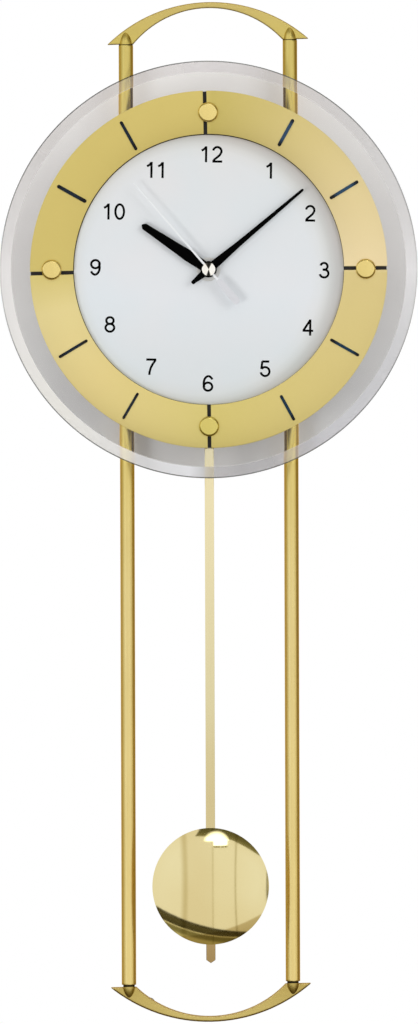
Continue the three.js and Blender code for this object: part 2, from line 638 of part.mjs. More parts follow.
// One quarter of the ring, to the upper right, with half holes in its ends for the buttons' shanks.
function ringSegment() {
  const [outer, inner, gap] = [RING_OUTER / 2, RING_INNER / 2, RING_GAP / 2];
  const outerSpread = Math.asin(gap / outer);
  const innerSpread = Math.asin(gap / inner);
  const outline = new THREE.Shape([
    ...arc(outer, outerSpread, TURN / 4 - outerSpread, QUADRANT_STEPS),
    ...arc(inner, TURN / 4 - innerSpread, innerSpread, QUADRANT_STEPS),
  ]);
  return [0, 90].reduce((body, degrees) => {
    const { diameter, at } = shankHole(degrees);
    return body.subtract(pin(diameter, backingFront - THROUGH, ringFront + THROUGH, SMALL_SIDES, at));
  }, plate(outline, backingFront, ringFront));
}

// An index stick for twelve o'clock: a bar with round ends.
function indexStick() {
  const half = STICK_WIDTH / 2;
  const outline = new THREE.Shape([
    ...arc(half, 0, TURN / 2, STICK_END_STEPS, 0, RING_OUTER / 2 - STICK_OUTER_MARGIN - half),
    ...arc(half, TURN / 2, TURN, STICK_END_STEPS, 0, RING_INNER / 2 + STICK_INNER_MARGIN + half),
  ]);
  return plate(outline, ringFront, ringFront + STICK_THICKNESS);
}

// A domed button with its shank, at the middle of the dial until it is placed.
function ringButton(shankBack) {
  const radius = BUTTON_DIAMETER / 2;
  const shank = SHANK_DIAMETER / 2;
  const profile = [[0, shankBack], [shank, shankBack], [shank, ringFront], [radius, ringFront]];
  const sphere = (radius ** 2 + BUTTON_DOME ** 2) / (2 * BUTTON_DOME);
  const spread = Math.asin(radius / sphere);
  for (let step = 0; step <= DOME_STEPS; step += 1) {
    const angle = spread * (1 - step / DOME_STEPS);
    const height = sphere * Math.cos(angle) - (sphere - BUTTON_DOME);
    profile.push([sphere * Math.sin(angle), ringFront + BUTTON_RIM + height]);
  }
  return turned(profile, TURNED_SIDES);
}

// A six-sided nut for a button's shank.
function shankNut(front) {
  const back = front - SHANK_NUT_THICKNESS;
  const acrossCorners = SHANK_NUT_WIDTH / Math.cos(TURN / (2 * SHANK_NUT_FLATS));
  const bore = pin(SHANK_DIAMETER + 2 * FIT, back - THROUGH, front + THROUGH, SMALL_SIDES);
  return pin(acrossCorners, back, front, SHANK_NUT_FLATS).subtract(bore);
}

piece(head, "carrier_plate", carrierPlate(), ZINC_STEEL);
piece(head, "glass_disc", glassDisc(), GLASS);
piece(
  head,
  "backing_disc",
  disc(RING_OUTER - 2 * BACKING_INSET, [bushHole, ...shankHoles], glassFront, backingFront),
  BLACK_LACQUER,
);
piece(head, "dial_plate", disc(RING_INNER - 2 * DIAL_GAP, [bushHole], backingFront, dialFront), DIAL_SILVER);

const segment = ringSegment();
["12_to_03", "03_to_06", "06_to_09", "09_to_12"].forEach((hours, quarter) => {
  piece(head, `ring_segment_${hours}`, segment, BRUSHED_GOLD).rotation.y = (quarter * TURN) / 4;
});

const stick = indexStick();
for (const hour of [1, 2, 4, 5, 7, 8, 10, 11]) {
  const name = `index_stick_${String(hour).padStart(2, "0")}`;
  piece(head, name, stick, BLACK_LACQUER).rotation.y = (hour * TURN) / HOURS;
}

for (const [hour, degrees] of QUARTERS) {
  const seat = onTab(degrees) ? carrierBack : glassBack;
  const { x, z } = buttonAt(degrees);
  const button = ringButton(seat - SHANK_NUT_THICKNESS - SHANK_END);
  piece(head, `ring_button_${hour}`, button, SATIN_GOLD).position.set(x, 0, z);
  piece(head, `button_nut_${hour}`, shankNut(seat), ZINC_STEEL).position.set(x, 0, z);
}

// The nut that holds the dial on the movement's bush.
const nutRadius = CENTRE_NUT_DIAMETER / 2;
const nutBore = BUSH_DIAMETER / 2 + PIPE_FIT;
const centreNut = turned(
  [
    [nutBore, dialFront],
    [nutRadius, dialFront],
    [nutRadius, centreNutFront - CENTRE_NUT_CHAMFER],
    [nutRadius - CENTRE_NUT_CHAMFER, centreNutFront],
    [nutBore, centreNutFront],
    [nutBore, dialFront],
  ],
  ROD_SIDES,
);
piece(head, "centre_nut", centreNut, BRIGHT_METAL);

// Gears. A wheel's outline has straight-flanked teeth, the first of them centred on the angle toothAt.
function gearOutline(teeth, module, toothAt) {
  const pitchRadius = (module * teeth) / 2;
  const tip = pitchRadius + ADDENDUM * module;
  const root = pitchRadius - DEDENDUM * module;
  const tipSpread = ((TOOTH_TIP / 2) * module) / tip;
  const rootSpread = ((TOOTH_ROOT / 2) * module) / pitchRadius;
  const points = [];
  for (let tooth = 0; tooth < teeth; tooth += 1) {
    const middle = toothAt + (tooth * TURN) / teeth;
    const corners = [[root, -rootSpread], [tip, -tipSpread], [tip, tipSpread], [root, rootSpread]];
    for (const [radius, spread] of corners) {
      points.push(new THREE.Vector2(radius * Math.cos(middle + spread), radius * Math.sin(middle + spread)));
    }
  }
  return new THREE.Shape(points);
}

function gear(teeth, module, toothAt, level) {
  return plate(gearOutline(teeth, module, toothAt), level.back, level.front);
}

// The angle of a tooth on a driven wheel, so that a space faces the driver's tooth. The driver lies at facing.
const spaceFacing = (teeth, facing) => facing + TURN / (2 * teeth);
const opposite = (degrees) => radians(degrees) + TURN / 2;

const arborBack = (level) => level.back - ARBOR_TAIL;
const arbor = (back) => pin(ARBOR_DIAMETER, back, arborFront, TINY_SIDES);

// A reduction wheel with its pinion: the pinion drives the centre wheel and the rotor drives the wheel.
// Its arbor runs back to the post behind rearLevel.
function reductionWheel(direction, pinionLevel, wheelLevel, rearLevel) {
  const pinionTooth = spaceFacing(REDUCTION_PINION_TEETH, opposite(direction));
  const pinion = gear(REDUCTION_PINION_TEETH, TRAIN_MODULE, pinionTooth, pinionLevel);
  const collar = pin(COLLAR_DIAMETER, wheelLevel.front - FIT, pinionLevel.back + FIT, TINY_SIDES);
  return gear(REDUCTION_WHEEL_TEETH, TRAIN_MODULE, radians(direction), wheelLevel)
    .add(pinion)
    .add(collar)
    .add(arbor(arborBack(rearLevel)));
}

// A motor's rotor: a magnet and a pinion on one arbor.
function rotor(direction, pinionLevel, magnetLevel) {
  const tooth = spaceFacing(ROTOR_PINION_TEETH, opposite(direction));
  const magnet = pin(MAGNET_DIAMETER, magnetLevel.back, magnetLevel.front, SMALL_SIDES);
  return gear(ROTOR_PINION_TEETH, TRAIN_MODULE, tooth, pinionLevel)
    .add(magnet)
    .add(arbor(arborBack(magnetLevel)));
}

// The second arbor carries its wheel behind and the second hand in front.
const secondArborFront = secondHandBack + CAP_BORE_LENGTH - FIT;
const secondArbor = gear(CENTRE_WHEEL_TEETH, TRAIN_MODULE, radians(SECOND_TRAIN_DIRECTION), secondLevel).add(
  pin(SECOND_ARBOR_DIAMETER, arborBack(secondLevel), secondArborFront, TINY_SIDES),
);

// A pipe that a hand is pushed on, with the bore for what turns inside it.
function piped(body, diameter, wall, back, front) {
  const bore = pin(diameter - 2 * wall, back - THROUGH, front + THROUGH, SMALL_SIDES);
  return body.add(pin(diameter, back, front, SMALL_SIDES)).subtract(bore);
}

const motionFacing = radians(MOTION_DIRECTION);
const minuteArbor = piped(
  gear(CENTRE_WHEEL_TEETH, TRAIN_MODULE, radians(MINUTE_TRAIN_DIRECTION), minuteLevel).add(
    gear(MINUTE_PINION_TEETH, MOTION_MODULE, spaceFacing(MINUTE_PINION_TEETH, motionFacing), motionLevel),
  ),
  MINUTE_PIPE_DIAMETER,
  MINUTE_PIPE_WALL,
  minuteLevel.back,
  minuteHandFront + PIPE_PROUD,
);
const motionTooth = opposite(MOTION_DIRECTION);
const motionBore = ARBOR_DIAMETER + 2 * PIPE_FIT;
const motionWheel = gear(MOTION_WHEEL_TEETH, MOTION_MODULE, motionTooth, motionLevel)
  .add(gear(MOTION_PINION_TEETH, hourModule, spaceFacing(MOTION_PINION_TEETH, motionTooth), hourLevel))
  .add(pin(COLLAR_DIAMETER, motionLevel.front - FIT, hourLevel.back + FIT, TINY_SIDES))
  .subtract(pin(motionBore, motionLevel.back - THROUGH, hourLevel.front + THROUGH, TINY_SIDES));
const hourWheel = piped(
  gear(HOUR_WHEEL_TEETH, hourModule, motionFacing, hourLevel),
  HOUR_PIPE_DIAMETER,
  HOUR_PIPE_WALL,
  hourLevel.back,
  hourHandFront + PIPE_PROUD,
);

function geared(name, body, finish, at = { x: 0, z: 0 }) {
  piece(head, name, body, finish).position.set(at.x, 0, at.z);
}

geared("second_arbor", secondArbor, WHITE_PLASTIC);
geared("minute_arbor", minuteArbor, WHITE_PLASTIC);
geared("hour_wheel", hourWheel, WHITE_PLASTIC);
geared("motion_wheel", motionWheel, WHITE_PLASTIC, motionAt);
geared(
  "second_reduction_wheel",
  reductionWheel(SECOND_TRAIN_DIRECTION, secondLevel, secondReductionLevel, secondReductionLevel),
  WHITE_PLASTIC,
  secondReductionAt,
);
geared(
  "minute_reduction_wheel",
  reductionWheel(MINUTE_TRAIN_DIRECTION, minuteLevel, minuteReductionLevel, secondLevel),
  WHITE_PLASTIC,
  minuteReductionAt,
);
geared(
  "second_rotor",
  rotor(SECOND_TRAIN_DIRECTION, secondReductionLevel, secondMagnetLevel),
  ZINC_STEEL,
  secondRotorAt,
);
geared(
  "minute_rotor",
  rotor(MINUTE_TRAIN_DIRECTION, minuteReductionLevel, minuteMagnetLevel),
  ZINC_STEEL,
  minuteRotorAt,
);

// Motor coils: a winding beside each rotor, on a stator plate that goes round the rotor's magnet.
function motorCoil(rotorAt, magnetLevel) {
  const outward = Math.sign(rotorAt.x);
  const middle = (magnetLevel.back + magnetLevel.front) / 2;
  const coilAt = outward * coilOffset;
  const lip = rotorAt.x - outward * (MAGNET_DIAMETER / 2 + STATOR_LIP);
  const [left, right] = [lip, coilAt].sort((a, b) => a - b);
  const half = STATOR_HEIGHT / 2;
  const [back, front] = [middle - STATOR_THICKNESS / 2, middle + STATOR_THICKNESS / 2];
  const stator = block(left, right, rotorAt.z - half, rotorAt.z + half, back, front).subtract(
    pin(MAGNET_DIAMETER + 2 * FIT, back - THROUGH, front + THROUGH, ROD_SIDES, rotorAt),
  );
  const winding = block(
    coilAt - COIL_WIDTH / 2,
    coilAt + COIL_WIDTH / 2,
    rotorAt.z - COIL_HEIGHT / 2,
    rotorAt.z + COIL_HEIGHT / 2,
    middle - COIL_THICKNESS / 2,
    middle + COIL_THICKNESS / 2,
  );
  return stator.add(winding);
}

piece(head, "second_motor_coil", motorCoil(secondRotorAt, secondMagnetLevel), COPPER_WIRE);
piece(head, "minute_motor_coil", motorCoil(minuteRotorAt, minuteMagnetLevel), COPPER_WIRE);

// Movement case: an open-fronted box with a battery bay, posts for the arbors and slots for what moves.
const post = (diameter, top, at) => pin(diameter, CASE_STANDOFF + CASE_WALL / 2, top, TINY_SIDES, at);
const arborPost = (level, at) => post(POST_DIAMETER, arborBack(level) - FIT, at);

function coilPad(rotorAt, magnetLevel) {
  const coilAt = Math.sign(rotorAt.x) * coilOffset;
  const top = (magnetLevel.back + magnetLevel.front - COIL_THICKNESS) / 2 - FIT;
  const [halfWidth, halfHeight] = [COIL_PAD_WIDTH / 2, COIL_PAD_HEIGHT / 2];
  const [bottom, back] = [rotorAt.z - halfHeight, CASE_STANDOFF + CASE_WALL / 2];
  return block(coilAt - halfWidth, coilAt + halfWidth, bottom, bottom + COIL_PAD_HEIGHT, back, top);
}

function batteryBay() {
  const walls = [];
  const half = BATTERY_DIAMETER / 2 + FIT;
  const [back, front] = [CASE_STANDOFF + CASE_WALL / 2, caseFloor + BAY_WALL_DEPTH];
  const side = hollowSide + CASE_WALL / 2;
  for (const bottom of [batteryRise - half - BAY_WALL, batteryRise + half]) {
    walls.push(block(-side, side, bottom, bottom + BAY_WALL, back, front));
  }
  const end = (BATTERY_LENGTH + BATTERY_NIPPLE) / 2 + FIT;
  for (const left of [-end - BAY_WALL, end]) {
    const [bottom, top] = [batteryRise - half - BAY_WALL / 2, batteryRise + half + BAY_WALL / 2];
    walls.push(block(left, left + BAY_WALL, bottom, top, back, front));
  }
  return walls;
}

function aerialRibs() {
  const bottom = upperBay + AERIAL_DIAMETER / 2 + FIT;
  const [back, front] = [AERIAL_DEPTH - AERIAL_RIB_DEPTH / 2, AERIAL_DEPTH + AERIAL_RIB_DEPTH / 2];
  return [-AERIAL_RIB_OFFSET, AERIAL_RIB_OFFSET].map((x) =>
    block(x - AERIAL_RIB_WIDTH / 2, x + AERIAL_RIB_WIDTH / 2, bottom, CASE_TOP - CASE_WALL / 2, back, front),
  );
}

const boardBack = caseFloor + BOARD_GAP;
const pivotAt = { x: 0, z: -pivotDrop };

function movementCase() {
  const side = CASE_WIDTH / 2;
  const [hollowBottom, hollowTop] = [CASE_WALL - CASE_BOTTOM, CASE_TOP - CASE_WALL];
  let body = block(-side, side, -CASE_BOTTOM, CASE_TOP, CASE_STANDOFF, caseFront);
  body = body.subtract(block(-hollowSide, hollowSide, hollowBottom, hollowTop, caseFloor, caseFront + THROUGH));
  const added = [
    ...batteryBay(),
    ...aerialRibs(),
    coilPad(secondRotorAt, secondMagnetLevel),
    coilPad(minuteRotorAt, minuteMagnetLevel),
    arborPost(secondLevel, { x: 0, z: 0 }),
    arborPost(secondReductionLevel, secondReductionAt),
    arborPost(secondMagnetLevel, secondRotorAt),
    arborPost(secondLevel, minuteReductionAt),
    arborPost(minuteMagnetLevel, minuteRotorAt),
    post(PIVOT_SHOULDER, LEVER_DEPTH - FIT, pivotAt),
    post(PIVOT_DIAMETER, leverFront, pivotAt),
    ...[-1, 1].map((s) => post(POST_DIAMETER, boardBack, { x: s * BOARD_POST_OFFSET, z: upperBay })),
  ];
  body = added.reduce((whole, part) => whole.add(part), body);
  const windowHalf = (BATTERY_LENGTH + BATTERY_NIPPLE) / 2 + FIT;
  const windowRise = BATTERY_DIAMETER / 2 + FIT;
  const [windowBottom, windowTop] = [batteryRise - windowRise, batteryRise + windowRise];
  const batteryWindow = [
    -windowHalf,
    windowHalf,
    windowBottom,
    windowTop,
    CASE_STANDOFF - THROUGH,
    caseFloor + FIT,
  ];
  const leverSlot = [
    -SLOT_WIDTH / 2,
    SLOT_WIDTH / 2,
    -CASE_BOTTOM - THROUGH,
    hollowBottom + THROUGH,
    LEVER_DEPTH - SLOT_MARGIN,
    leverFront + SLOT_MARGIN,
  ];
  const buttonHole = pin(
    SET_BUTTON_DIAMETER + 2 * FIT,
    CASE_STANDOFF - THROUGH,
    caseFloor + THROUGH,
    SMALL_SIDES,
    setButtonAt,
  );
  return body.subtract(block(...batteryWindow)).subtract(block(...leverSlot)).subtract(buttonHole);
}

// Front plate of the movement, with the bush that the hour pipe turns in and the stud of the motion wheel.
function frontPlate() {
  const side = CASE_WIDTH / 2;
  const boreDiameter = HOUR_PIPE_DIAMETER + 2 * PIPE_FIT;
  const bore = pin(boreDiameter, caseFront - THROUGH, centreNutFront + THROUGH, SMALL_SIDES);
  return block(-side, side, -CASE_BOTTOM, CASE_TOP, caseFront, carrierBack)
    .add(pin(BUSH_DIAMETER, caseFront, centreNutFront, TURNED_SIDES))
    .add(pin(ARBOR_DIAMETER, motionLevel.back, carrierBack, TINY_SIDES, motionAt))
    .add(pin(RETAINER_DIAMETER, leverFront + FIT, carrierBack, TINY_SIDES, pivotAt))
    .subtract(bore);
}

piece(head, "movement_case", movementCase(), BLACK_PLASTIC);
piece(head, "movement_front_plate", frontPlate(), BLACK_PLASTIC);

// Battery, lying across the bay.
const batteryLeft = -(BATTERY_LENGTH + BATTERY_NIPPLE) / 2;
const batteryShoulder = batteryLeft + BATTERY_LENGTH;

function batteryPart(diameter, left, right, sides) {
  return crosswise(diameter, left, right, sides, BATTERY_DEPTH, batteryRise);
}

const battery = batteryPart(BATTERY_DIAMETER, batteryLeft, batteryShoulder, TURNED_SIDES).add(
  batteryPart(
    BATTERY_NIPPLE_DIAMETER,
    batteryShoulder - THROUGH,
    batteryShoulder + BATTERY_NIPPLE,
    SMALL_SIDES,
  ),
);
piece(head, "battery_cell", battery, BATTERY_WRAP);

// Circuit board with the receiver chip, in front of the set button.
const boardFront = boardBack + BOARD_THICKNESS;
const boardBottom = upperBay - BOARD_HEIGHT / 2;
const chipHalf = CHIP_SIZE / 2;
const boardSide = hollowSide - BOARD_SIDE_GAP;
const board = block(-boardSide, boardSide, boardBottom, boardBottom + BOARD_HEIGHT, boardBack, boardFront).add(
  block(
    -chipHalf,
    chipHalf,
    upperBay - chipHalf,
    upperBay + chipHalf,
    boardFront - BOARD_THICKNESS / 2,
    boardFront + CHIP_THICKNESS,
  ),
);
piece(head, "circuit_board", board, GREEN_BOARD);

// Ferrite aerial with its winding.
const [aerialHalf, aerialCoilHalf] = [hollowSide - AERIAL_SIDE_GAP, AERIAL_COIL_LENGTH / 2];
const aerial = crosswise(AERIAL_DIAMETER, -aerialHalf, aerialHalf, SMALL_SIDES, AERIAL_DEPTH, upperBay).add(
  crosswise(AERIAL_COIL_DIAMETER, -aerialCoilHalf, aerialCoilHalf, SMALL_SIDES, AERIAL_DEPTH, upperBay),
);
piece(head, "ferrite_aerial", aerial, FERRITE);

// Set button: a short plunger with a flange inside the case.
const flangeBack = caseFloor + FIT;
const flangeFront = flangeBack + SET_BUTTON_FLANGE_THICKNESS;
const setButton = turned(
  [
    [0, CASE_STANDOFF - SET_BUTTON_PROUD],
    [SET_BUTTON_DIAMETER / 2, CASE_STANDOFF - SET_BUTTON_PROUD],
    [SET_BUTTON_DIAMETER / 2, flangeBack],
    [SET_BUTTON_FLANGE / 2, flangeBack],
    [SET_BUTTON_FLANGE / 2, flangeFront],
    [0, flangeFront],
  ],
  SMALL_SIDES,
);
piece(head, "set_button", setButton, WHITE_PLASTIC).position.set(setButtonAt.x, 0, setButtonAt.z);

// Hands, drawn pointing to twelve and turned to the time.
function handHole(pipeDiameter) {
  return pin(pipeDiameter + 2 * PUSH_FIT, hourHandBack - THROUGH, secondHandFront + THROUGH, SMALL_SIDES);
}

function hourHand() {
  const outline = symmetric([
    [0, HOUR_HAND_ROOT],
    [HOUR_HAND_WIDEST, HOUR_HAND_WIDTH],
    [HOUR_HAND_LENGTH - HOUR_HAND_POINT, HOUR_HAND_TIP],
    [HOUR_HAND_LENGTH, HOUR_HAND_NOSE],
  ]);
  return plate(outline, hourHandBack, hourHandFront)
    .add(pin(HOUR_HAND_HUB, hourHandBack, hourHandFront, TURNED_SIDES))
    .subtract(handHole(HOUR_PIPE_DIAMETER));
}

function minuteHand() {
  const outline = symmetric([
    [-MINUTE_HAND_TAIL, MINUTE_HAND_TAIL_NOSE],
    [-MINUTE_HAND_TAIL + MINUTE_HAND_TAIL_POINT, MINUTE_HAND_TAIL_TIP],
    [0, MINUTE_HAND_TAIL_ROOT],
    [MINUTE_HAND_HUB / 2, MINUTE_HAND_ROOT],
    [MINUTE_HAND_LENGTH - MINUTE_HAND_POINT, MINUTE_HAND_TIP],
    [MINUTE_HAND_LENGTH, MINUTE_HAND_NOSE],
  ]);
  return plate(outline, minuteHandBack, minuteHandFront)
    .add(pin(MINUTE_HAND_HUB, minuteHandBack, minuteHandFront, TURNED_SIDES))
    .subtract(handHole(MINUTE_PIPE_DIAMETER));
}

function secondHand() {
  const outline = symmetric([
    [-SECOND_HAND_TAIL, PADDLE_FLAT],
    [-SECOND_HAND_TAIL + PADDLE_CORNER, PADDLE_END],
    [-SECOND_HAND_NECK - PADDLE_SHOULDER, PADDLE_ROOT],
    [-SECOND_HAND_NECK, SECOND_HAND_ROOT],
    [0, SECOND_HAND_ROOT],
    [SECOND_HAND_LENGTH, SECOND_HAND_TIP],
  ]);
  const radius = CAP_DIAMETER / 2;
  const bore = SECOND_ARBOR_DIAMETER / 2 + PUSH_FIT;
  const shoulder = secondHandBack + CAP_RIM;
  const crown = shoulder + CAP_SHOULDER;
  const cap = turned(
    [
      [0, secondHandBack],
      [radius, secondHandBack],
      [radius, shoulder],
      [radius - CAP_SHOULDER_WIDTH, crown],
      [0, crown + CAP_CROWN],
    ],
    TURNED_SIDES,
  );
  return plate(outline, secondHandBack, secondHandFront)
    .add(cap)
    .subtract(pin(2 * bore, secondHandBack - THROUGH, secondHandBack + CAP_BORE_LENGTH, SMALL_SIDES));
}

piece(head, "hour_hand", hourHand(), HAND_BLACK).rotation.y = radians(HOUR_HAND_ANGLE);
piece(head, "minute_hand", minuteHand(), HAND_BLACK).rotation.y = radians(MINUTE_HAND_ANGLE);
piece(head, "second_hand", secondHand(), HAND_WHITE).rotation.y = radians(SECOND_HAND_ANGLE);

// Pendulum lever: it swings on a pin in the case, with a magnet in front of the drive coil and a hook pin.
function pendulumLever() {
  const [hub, end] = [{ x: 0, z: 0 }, { x: 0, z: -HOOK_DROP }];
  const magnetAt = { x: 0, z: -LEVER_MAGNET_DROP };
  const half = LEVER_WIDTH / 2;
  const boreDiameter = PIVOT_DIAMETER + 2 * PIPE_FIT;
  const bore = pin(boreDiameter, LEVER_DEPTH - THROUGH, leverFront + THROUGH, SMALL_SIDES, hub);
  return block(-half, half, -HOOK_DROP, 0, LEVER_DEPTH, leverFront)
    .add(pin(LEVER_HUB, LEVER_DEPTH, leverFront, SMALL_SIDES, hub))
    .add(pin(LEVER_END, LEVER_DEPTH, leverFront, SMALL_SIDES, end))
    .add(pin(HOOK_DIAMETER, LEVER_DEPTH + FIT, stripFront + HOOK_PROUD, SMALL_SIDES, end))
    .add(pin(LEVER_MAGNET_DIAMETER, magnetBack, LEVER_DEPTH + FIT, SMALL_SIDES, magnetAt))
    .subtract(bore);
}

function pendulumStrip() {
  const tip = -HOOK_DROP - STRIP_LENGTH;
  const outline = new THREE.Shape([
    new THREE.Vector2(-STRIP_WIDTH / 2, STRIP_HEAD - HOOK_DROP),
    new THREE.Vector2(-STRIP_WIDTH / 2, tip + STRIP_POINT),
    new THREE.Vector2(0, tip),
    new THREE.Vector2(STRIP_WIDTH / 2, tip + STRIP_POINT),
    new THREE.Vector2(STRIP_WIDTH / 2, STRIP_HEAD - HOOK_DROP),
  ]);
  outline.holes = [new THREE.Path(circle(HOOK_DIAMETER + 2 * FIT, SMALL_SIDES, { x: 0, z: -HOOK_DROP }))];
  return plate(outline, stripBack, stripFront);
}

// Points of a lens face, from its rim to its middle, as pairs of radius and height above the rim.
function lensPoints(radius, height) {
  const sphere = (radius ** 2 + height ** 2) / (2 * height);
  const spread = Math.asin(radius / sphere);
  return Array.from({ length: DOME_STEPS + 1 }, (_, step) => {
    const angle = spread * (1 - step / DOME_STEPS);
    return [sphere * Math.sin(angle), sphere * Math.cos(angle) - (sphere - height)];
  });
}

// Front of the bob: a pressed shell with an open back.
function bobFront() {
  const rim = bobFace + BOB_RIM;
  const outer = lensPoints(BOB_DIAMETER / 2, BOB_DOME).map(([radius, height]) => [radius, rim + height]);
  const inner = lensPoints(BOB_DIAMETER / 2 - BOB_SHELL, BOB_DOME).map(([radius, height]) => [
    radius,
    rim - BOB_SHELL + height,
  ]);
  const edge = [BOB_DIAMETER / 2, bobFace];
  return turned([edge, ...outer, ...inner.reverse(), edge], BOB_SIDES);
}

// Back of the bob: a solid weight with a channel for the strip.
function bobBack() {
  const rim = bobFace - BOB_RIM;
  const dome = lensPoints(BOB_DIAMETER / 2, BOB_DOME).map(([radius, height]) => [radius, rim - height]);
  const half = STRIP_WIDTH / 2 + FIT;
  const past = BOB_DIAMETER / 2 + THROUGH;
  const channel = block(-half, half, -past, past, stripBack - FIT, bobFace + THROUGH);
  return turned([[0, bobFace], [BOB_DIAMETER / 2, bobFace], ...dome], BOB_SIDES).subtract(channel);
}

const bobDrop = HOOK_DROP + STRIP_LENGTH - BOB_ABOVE_TIP;
piece(pendulum, "pendulum_lever", pendulumLever(), BLACK_PLASTIC);
piece(pendulum, "pendulum_strip", pendulumStrip(), POLISHED_BRASS);
piece(pendulum, "bob_front", bobFront(), POLISHED_BRASS).position.z = -bobDrop;
piece(pendulum, "bob_back", bobBack(), POLISHED_BRASS).position.z = -bobDrop;

// Drive coil of the pendulum, on the floor of the case behind the lever's magnet.
const driveCoilAt = { x: 0, z: -pivotDrop - LEVER_MAGNET_DROP };
const driveCoilFront = magnetBack - DRIVE_COIL_GAP;
const driveCoil = pin(DRIVE_COIL_DIAMETER, caseFloor, driveCoilFront, TURNED_SIDES, driveCoilAt).subtract(
  pin(DRIVE_COIL_BORE, caseFloor - THROUGH, driveCoilFront + THROUGH, SMALL_SIDES, driveCoilAt),
);
piece(head, "pendulum_coil", driveCoil, COPPER_WIRE);

export default clock;
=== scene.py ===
import json
import math

import bmesh
import bpy
from mathutils import Matrix, Vector


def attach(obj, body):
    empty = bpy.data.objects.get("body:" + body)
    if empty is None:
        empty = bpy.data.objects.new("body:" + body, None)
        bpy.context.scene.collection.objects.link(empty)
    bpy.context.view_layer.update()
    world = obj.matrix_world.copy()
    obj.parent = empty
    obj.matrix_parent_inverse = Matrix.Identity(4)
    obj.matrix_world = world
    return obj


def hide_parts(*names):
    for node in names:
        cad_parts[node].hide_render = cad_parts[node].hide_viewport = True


# Wall clock with a glass disc, a gold ring dial on two rods, and a pendulum.
# Shapes are written in millimetres, x to the right, y towards the wall and z up from the nail, and every mesh
# is brought to metres as it is finished. The stage, the lamps and the camera's distance are written in metres.

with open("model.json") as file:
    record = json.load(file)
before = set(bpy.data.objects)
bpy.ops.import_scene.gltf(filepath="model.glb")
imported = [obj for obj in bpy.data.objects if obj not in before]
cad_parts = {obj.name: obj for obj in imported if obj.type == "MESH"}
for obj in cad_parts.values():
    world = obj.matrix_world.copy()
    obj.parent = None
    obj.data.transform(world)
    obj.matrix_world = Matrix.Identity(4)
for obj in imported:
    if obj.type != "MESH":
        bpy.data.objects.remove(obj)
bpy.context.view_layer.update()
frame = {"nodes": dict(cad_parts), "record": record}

MM = 0.001
TURN = 2 * math.pi
AXIS_Z = -60.0  # the hands' axis below the nail

# Rods and yokes
ROD_RADIUS = 4.25
ROD_X = 48.25
ROD_DEPTH = 12.0
ROD_CHAMFER = 0.25
ROD_BORE = 3.5
ROD_BORE_DEPTH = 12.0
# The photographed frame hangs a little askew: its left rod is low, and both yokes lean to the left.
ROD_ENDS = {-ROD_X: (72.55, -480.33), ROD_X: (75.25, -478.47)}
# Top and bottom of the two lengths behind the glass where the black disc shades the rods' inner sides.
ROD_SHADES = ((47, 33), (-152, -167))
YOKE_HALF = 59.4
YOKE_INNER_HALF = 43.9
YOKE_WAIST = 3.5
YOKE_THICKNESS = 4.0
# Rise of the arch, gap to the rods, radius of the neck in that gap, height of the feet, lean to the left in
# degrees, and rounding of the edges.
YOKES = {"top_yoke": (23.4, 0.4, 4.1, 74.3, 1.6, 0.9), "bottom_yoke": (21.7, 1.2, 3.4, -480.57, 1.1, 1.3)}
BOSS_RADIUS = 3.75
BOSS_FORWARD = 0.8  # its axis before the middle of the yoke
BOSS_SHORT = 0.3  # its point below the arch's outer line
PEG_RADIUS = 3.2
PEG_REACH = 9.0  # into the rod
PEG_TAPER = 0.3  # its neck widens over this length, and enters the yoke as far
PEG_CLEARANCE = 0.03

# Glass, ring and dial
GLASS_RADIUS = 122.5
GLASS_BACK = 38.0
GLASS_RIM = 40.2
GLASS_FRONT = 43.0
GLASS_BEVEL = 6.5
GLASS_ARRIS = 0.65
GLASS_LINE = 0.35  # the polished line where the bevel starts
GLASS_EDGE = 0.2  # taken off its back edge
BUSH_HOLE = 4.9  # through the glass and the dial
BACKING_FRONT = 44.2  # of the black disc that ring and dial lie on
RING_OUTER = 104.8
RING_INNER = 79.4
RING_FRONT = 47.2
RING_GAP = 2.1
RING_ROUNDING = 0.2
STICK_HEIGHT = 0.9
STICK_ROUNDING = 0.25
DIAL_RADIUS = 79.1
DIAL_FRONT = 45.0
BUTTON_RADIUS = 5.9
BUTTON_CIRCLE = 92.1
BUTTON_WALL = 1.3
BUTTON_ROUNDING = 1.6
BUTTON_DOME = 0.3
BUTTON_CHAMFER = 0.2
SHANK_RADIUS = 2.0
SHANK_BACK = 28.0

# Depths of each hand's back and front, and its degrees clockwise in the picture
HOUR_HAND, HOUR_TURN = (47.1, 47.7), 303.9
MINUTE_HAND, MINUTE_TURN = (48.6, 49.1), 50.0
SECOND_HAND, SECOND_TURN = (50.2, 50.6), 319.1
HOUR_HUB = 4.2
MINUTE_HUB = 4.8
HAND_ROUNDING = 0.08
TAIL_START = -8.2  # of the second hand's broad tail, from the axis

# Pendulum
STRIP_HALF = 2.7
STRIP_BACK = 25.5
STRIP_FRONT = 26.5
STRIP_TOP = -123.0
STRIP_TIP = -467.4
STRIP_POINT = 1.9
STRIP_ROUNDING = 0.18
BOB_Z = -422.2
BOB_RADIUS = 34.25
BOB_FACE = 26.8
BOB_RIM = 0.8
BOB_DOME = 7.0
BOB_SHELL = 0.8


# Materials

def colour(code):
    """An sRGB hex value as the linear colour that the shaders take."""
    parts = [int(code[i:i + 2], 16) / 255 for i in (1, 3, 5)]
    return tuple(c / 12.92 if c <= 0.04045 else ((c + 0.055) / 1.055) ** 2.4 for c in parts) + (1.0,)


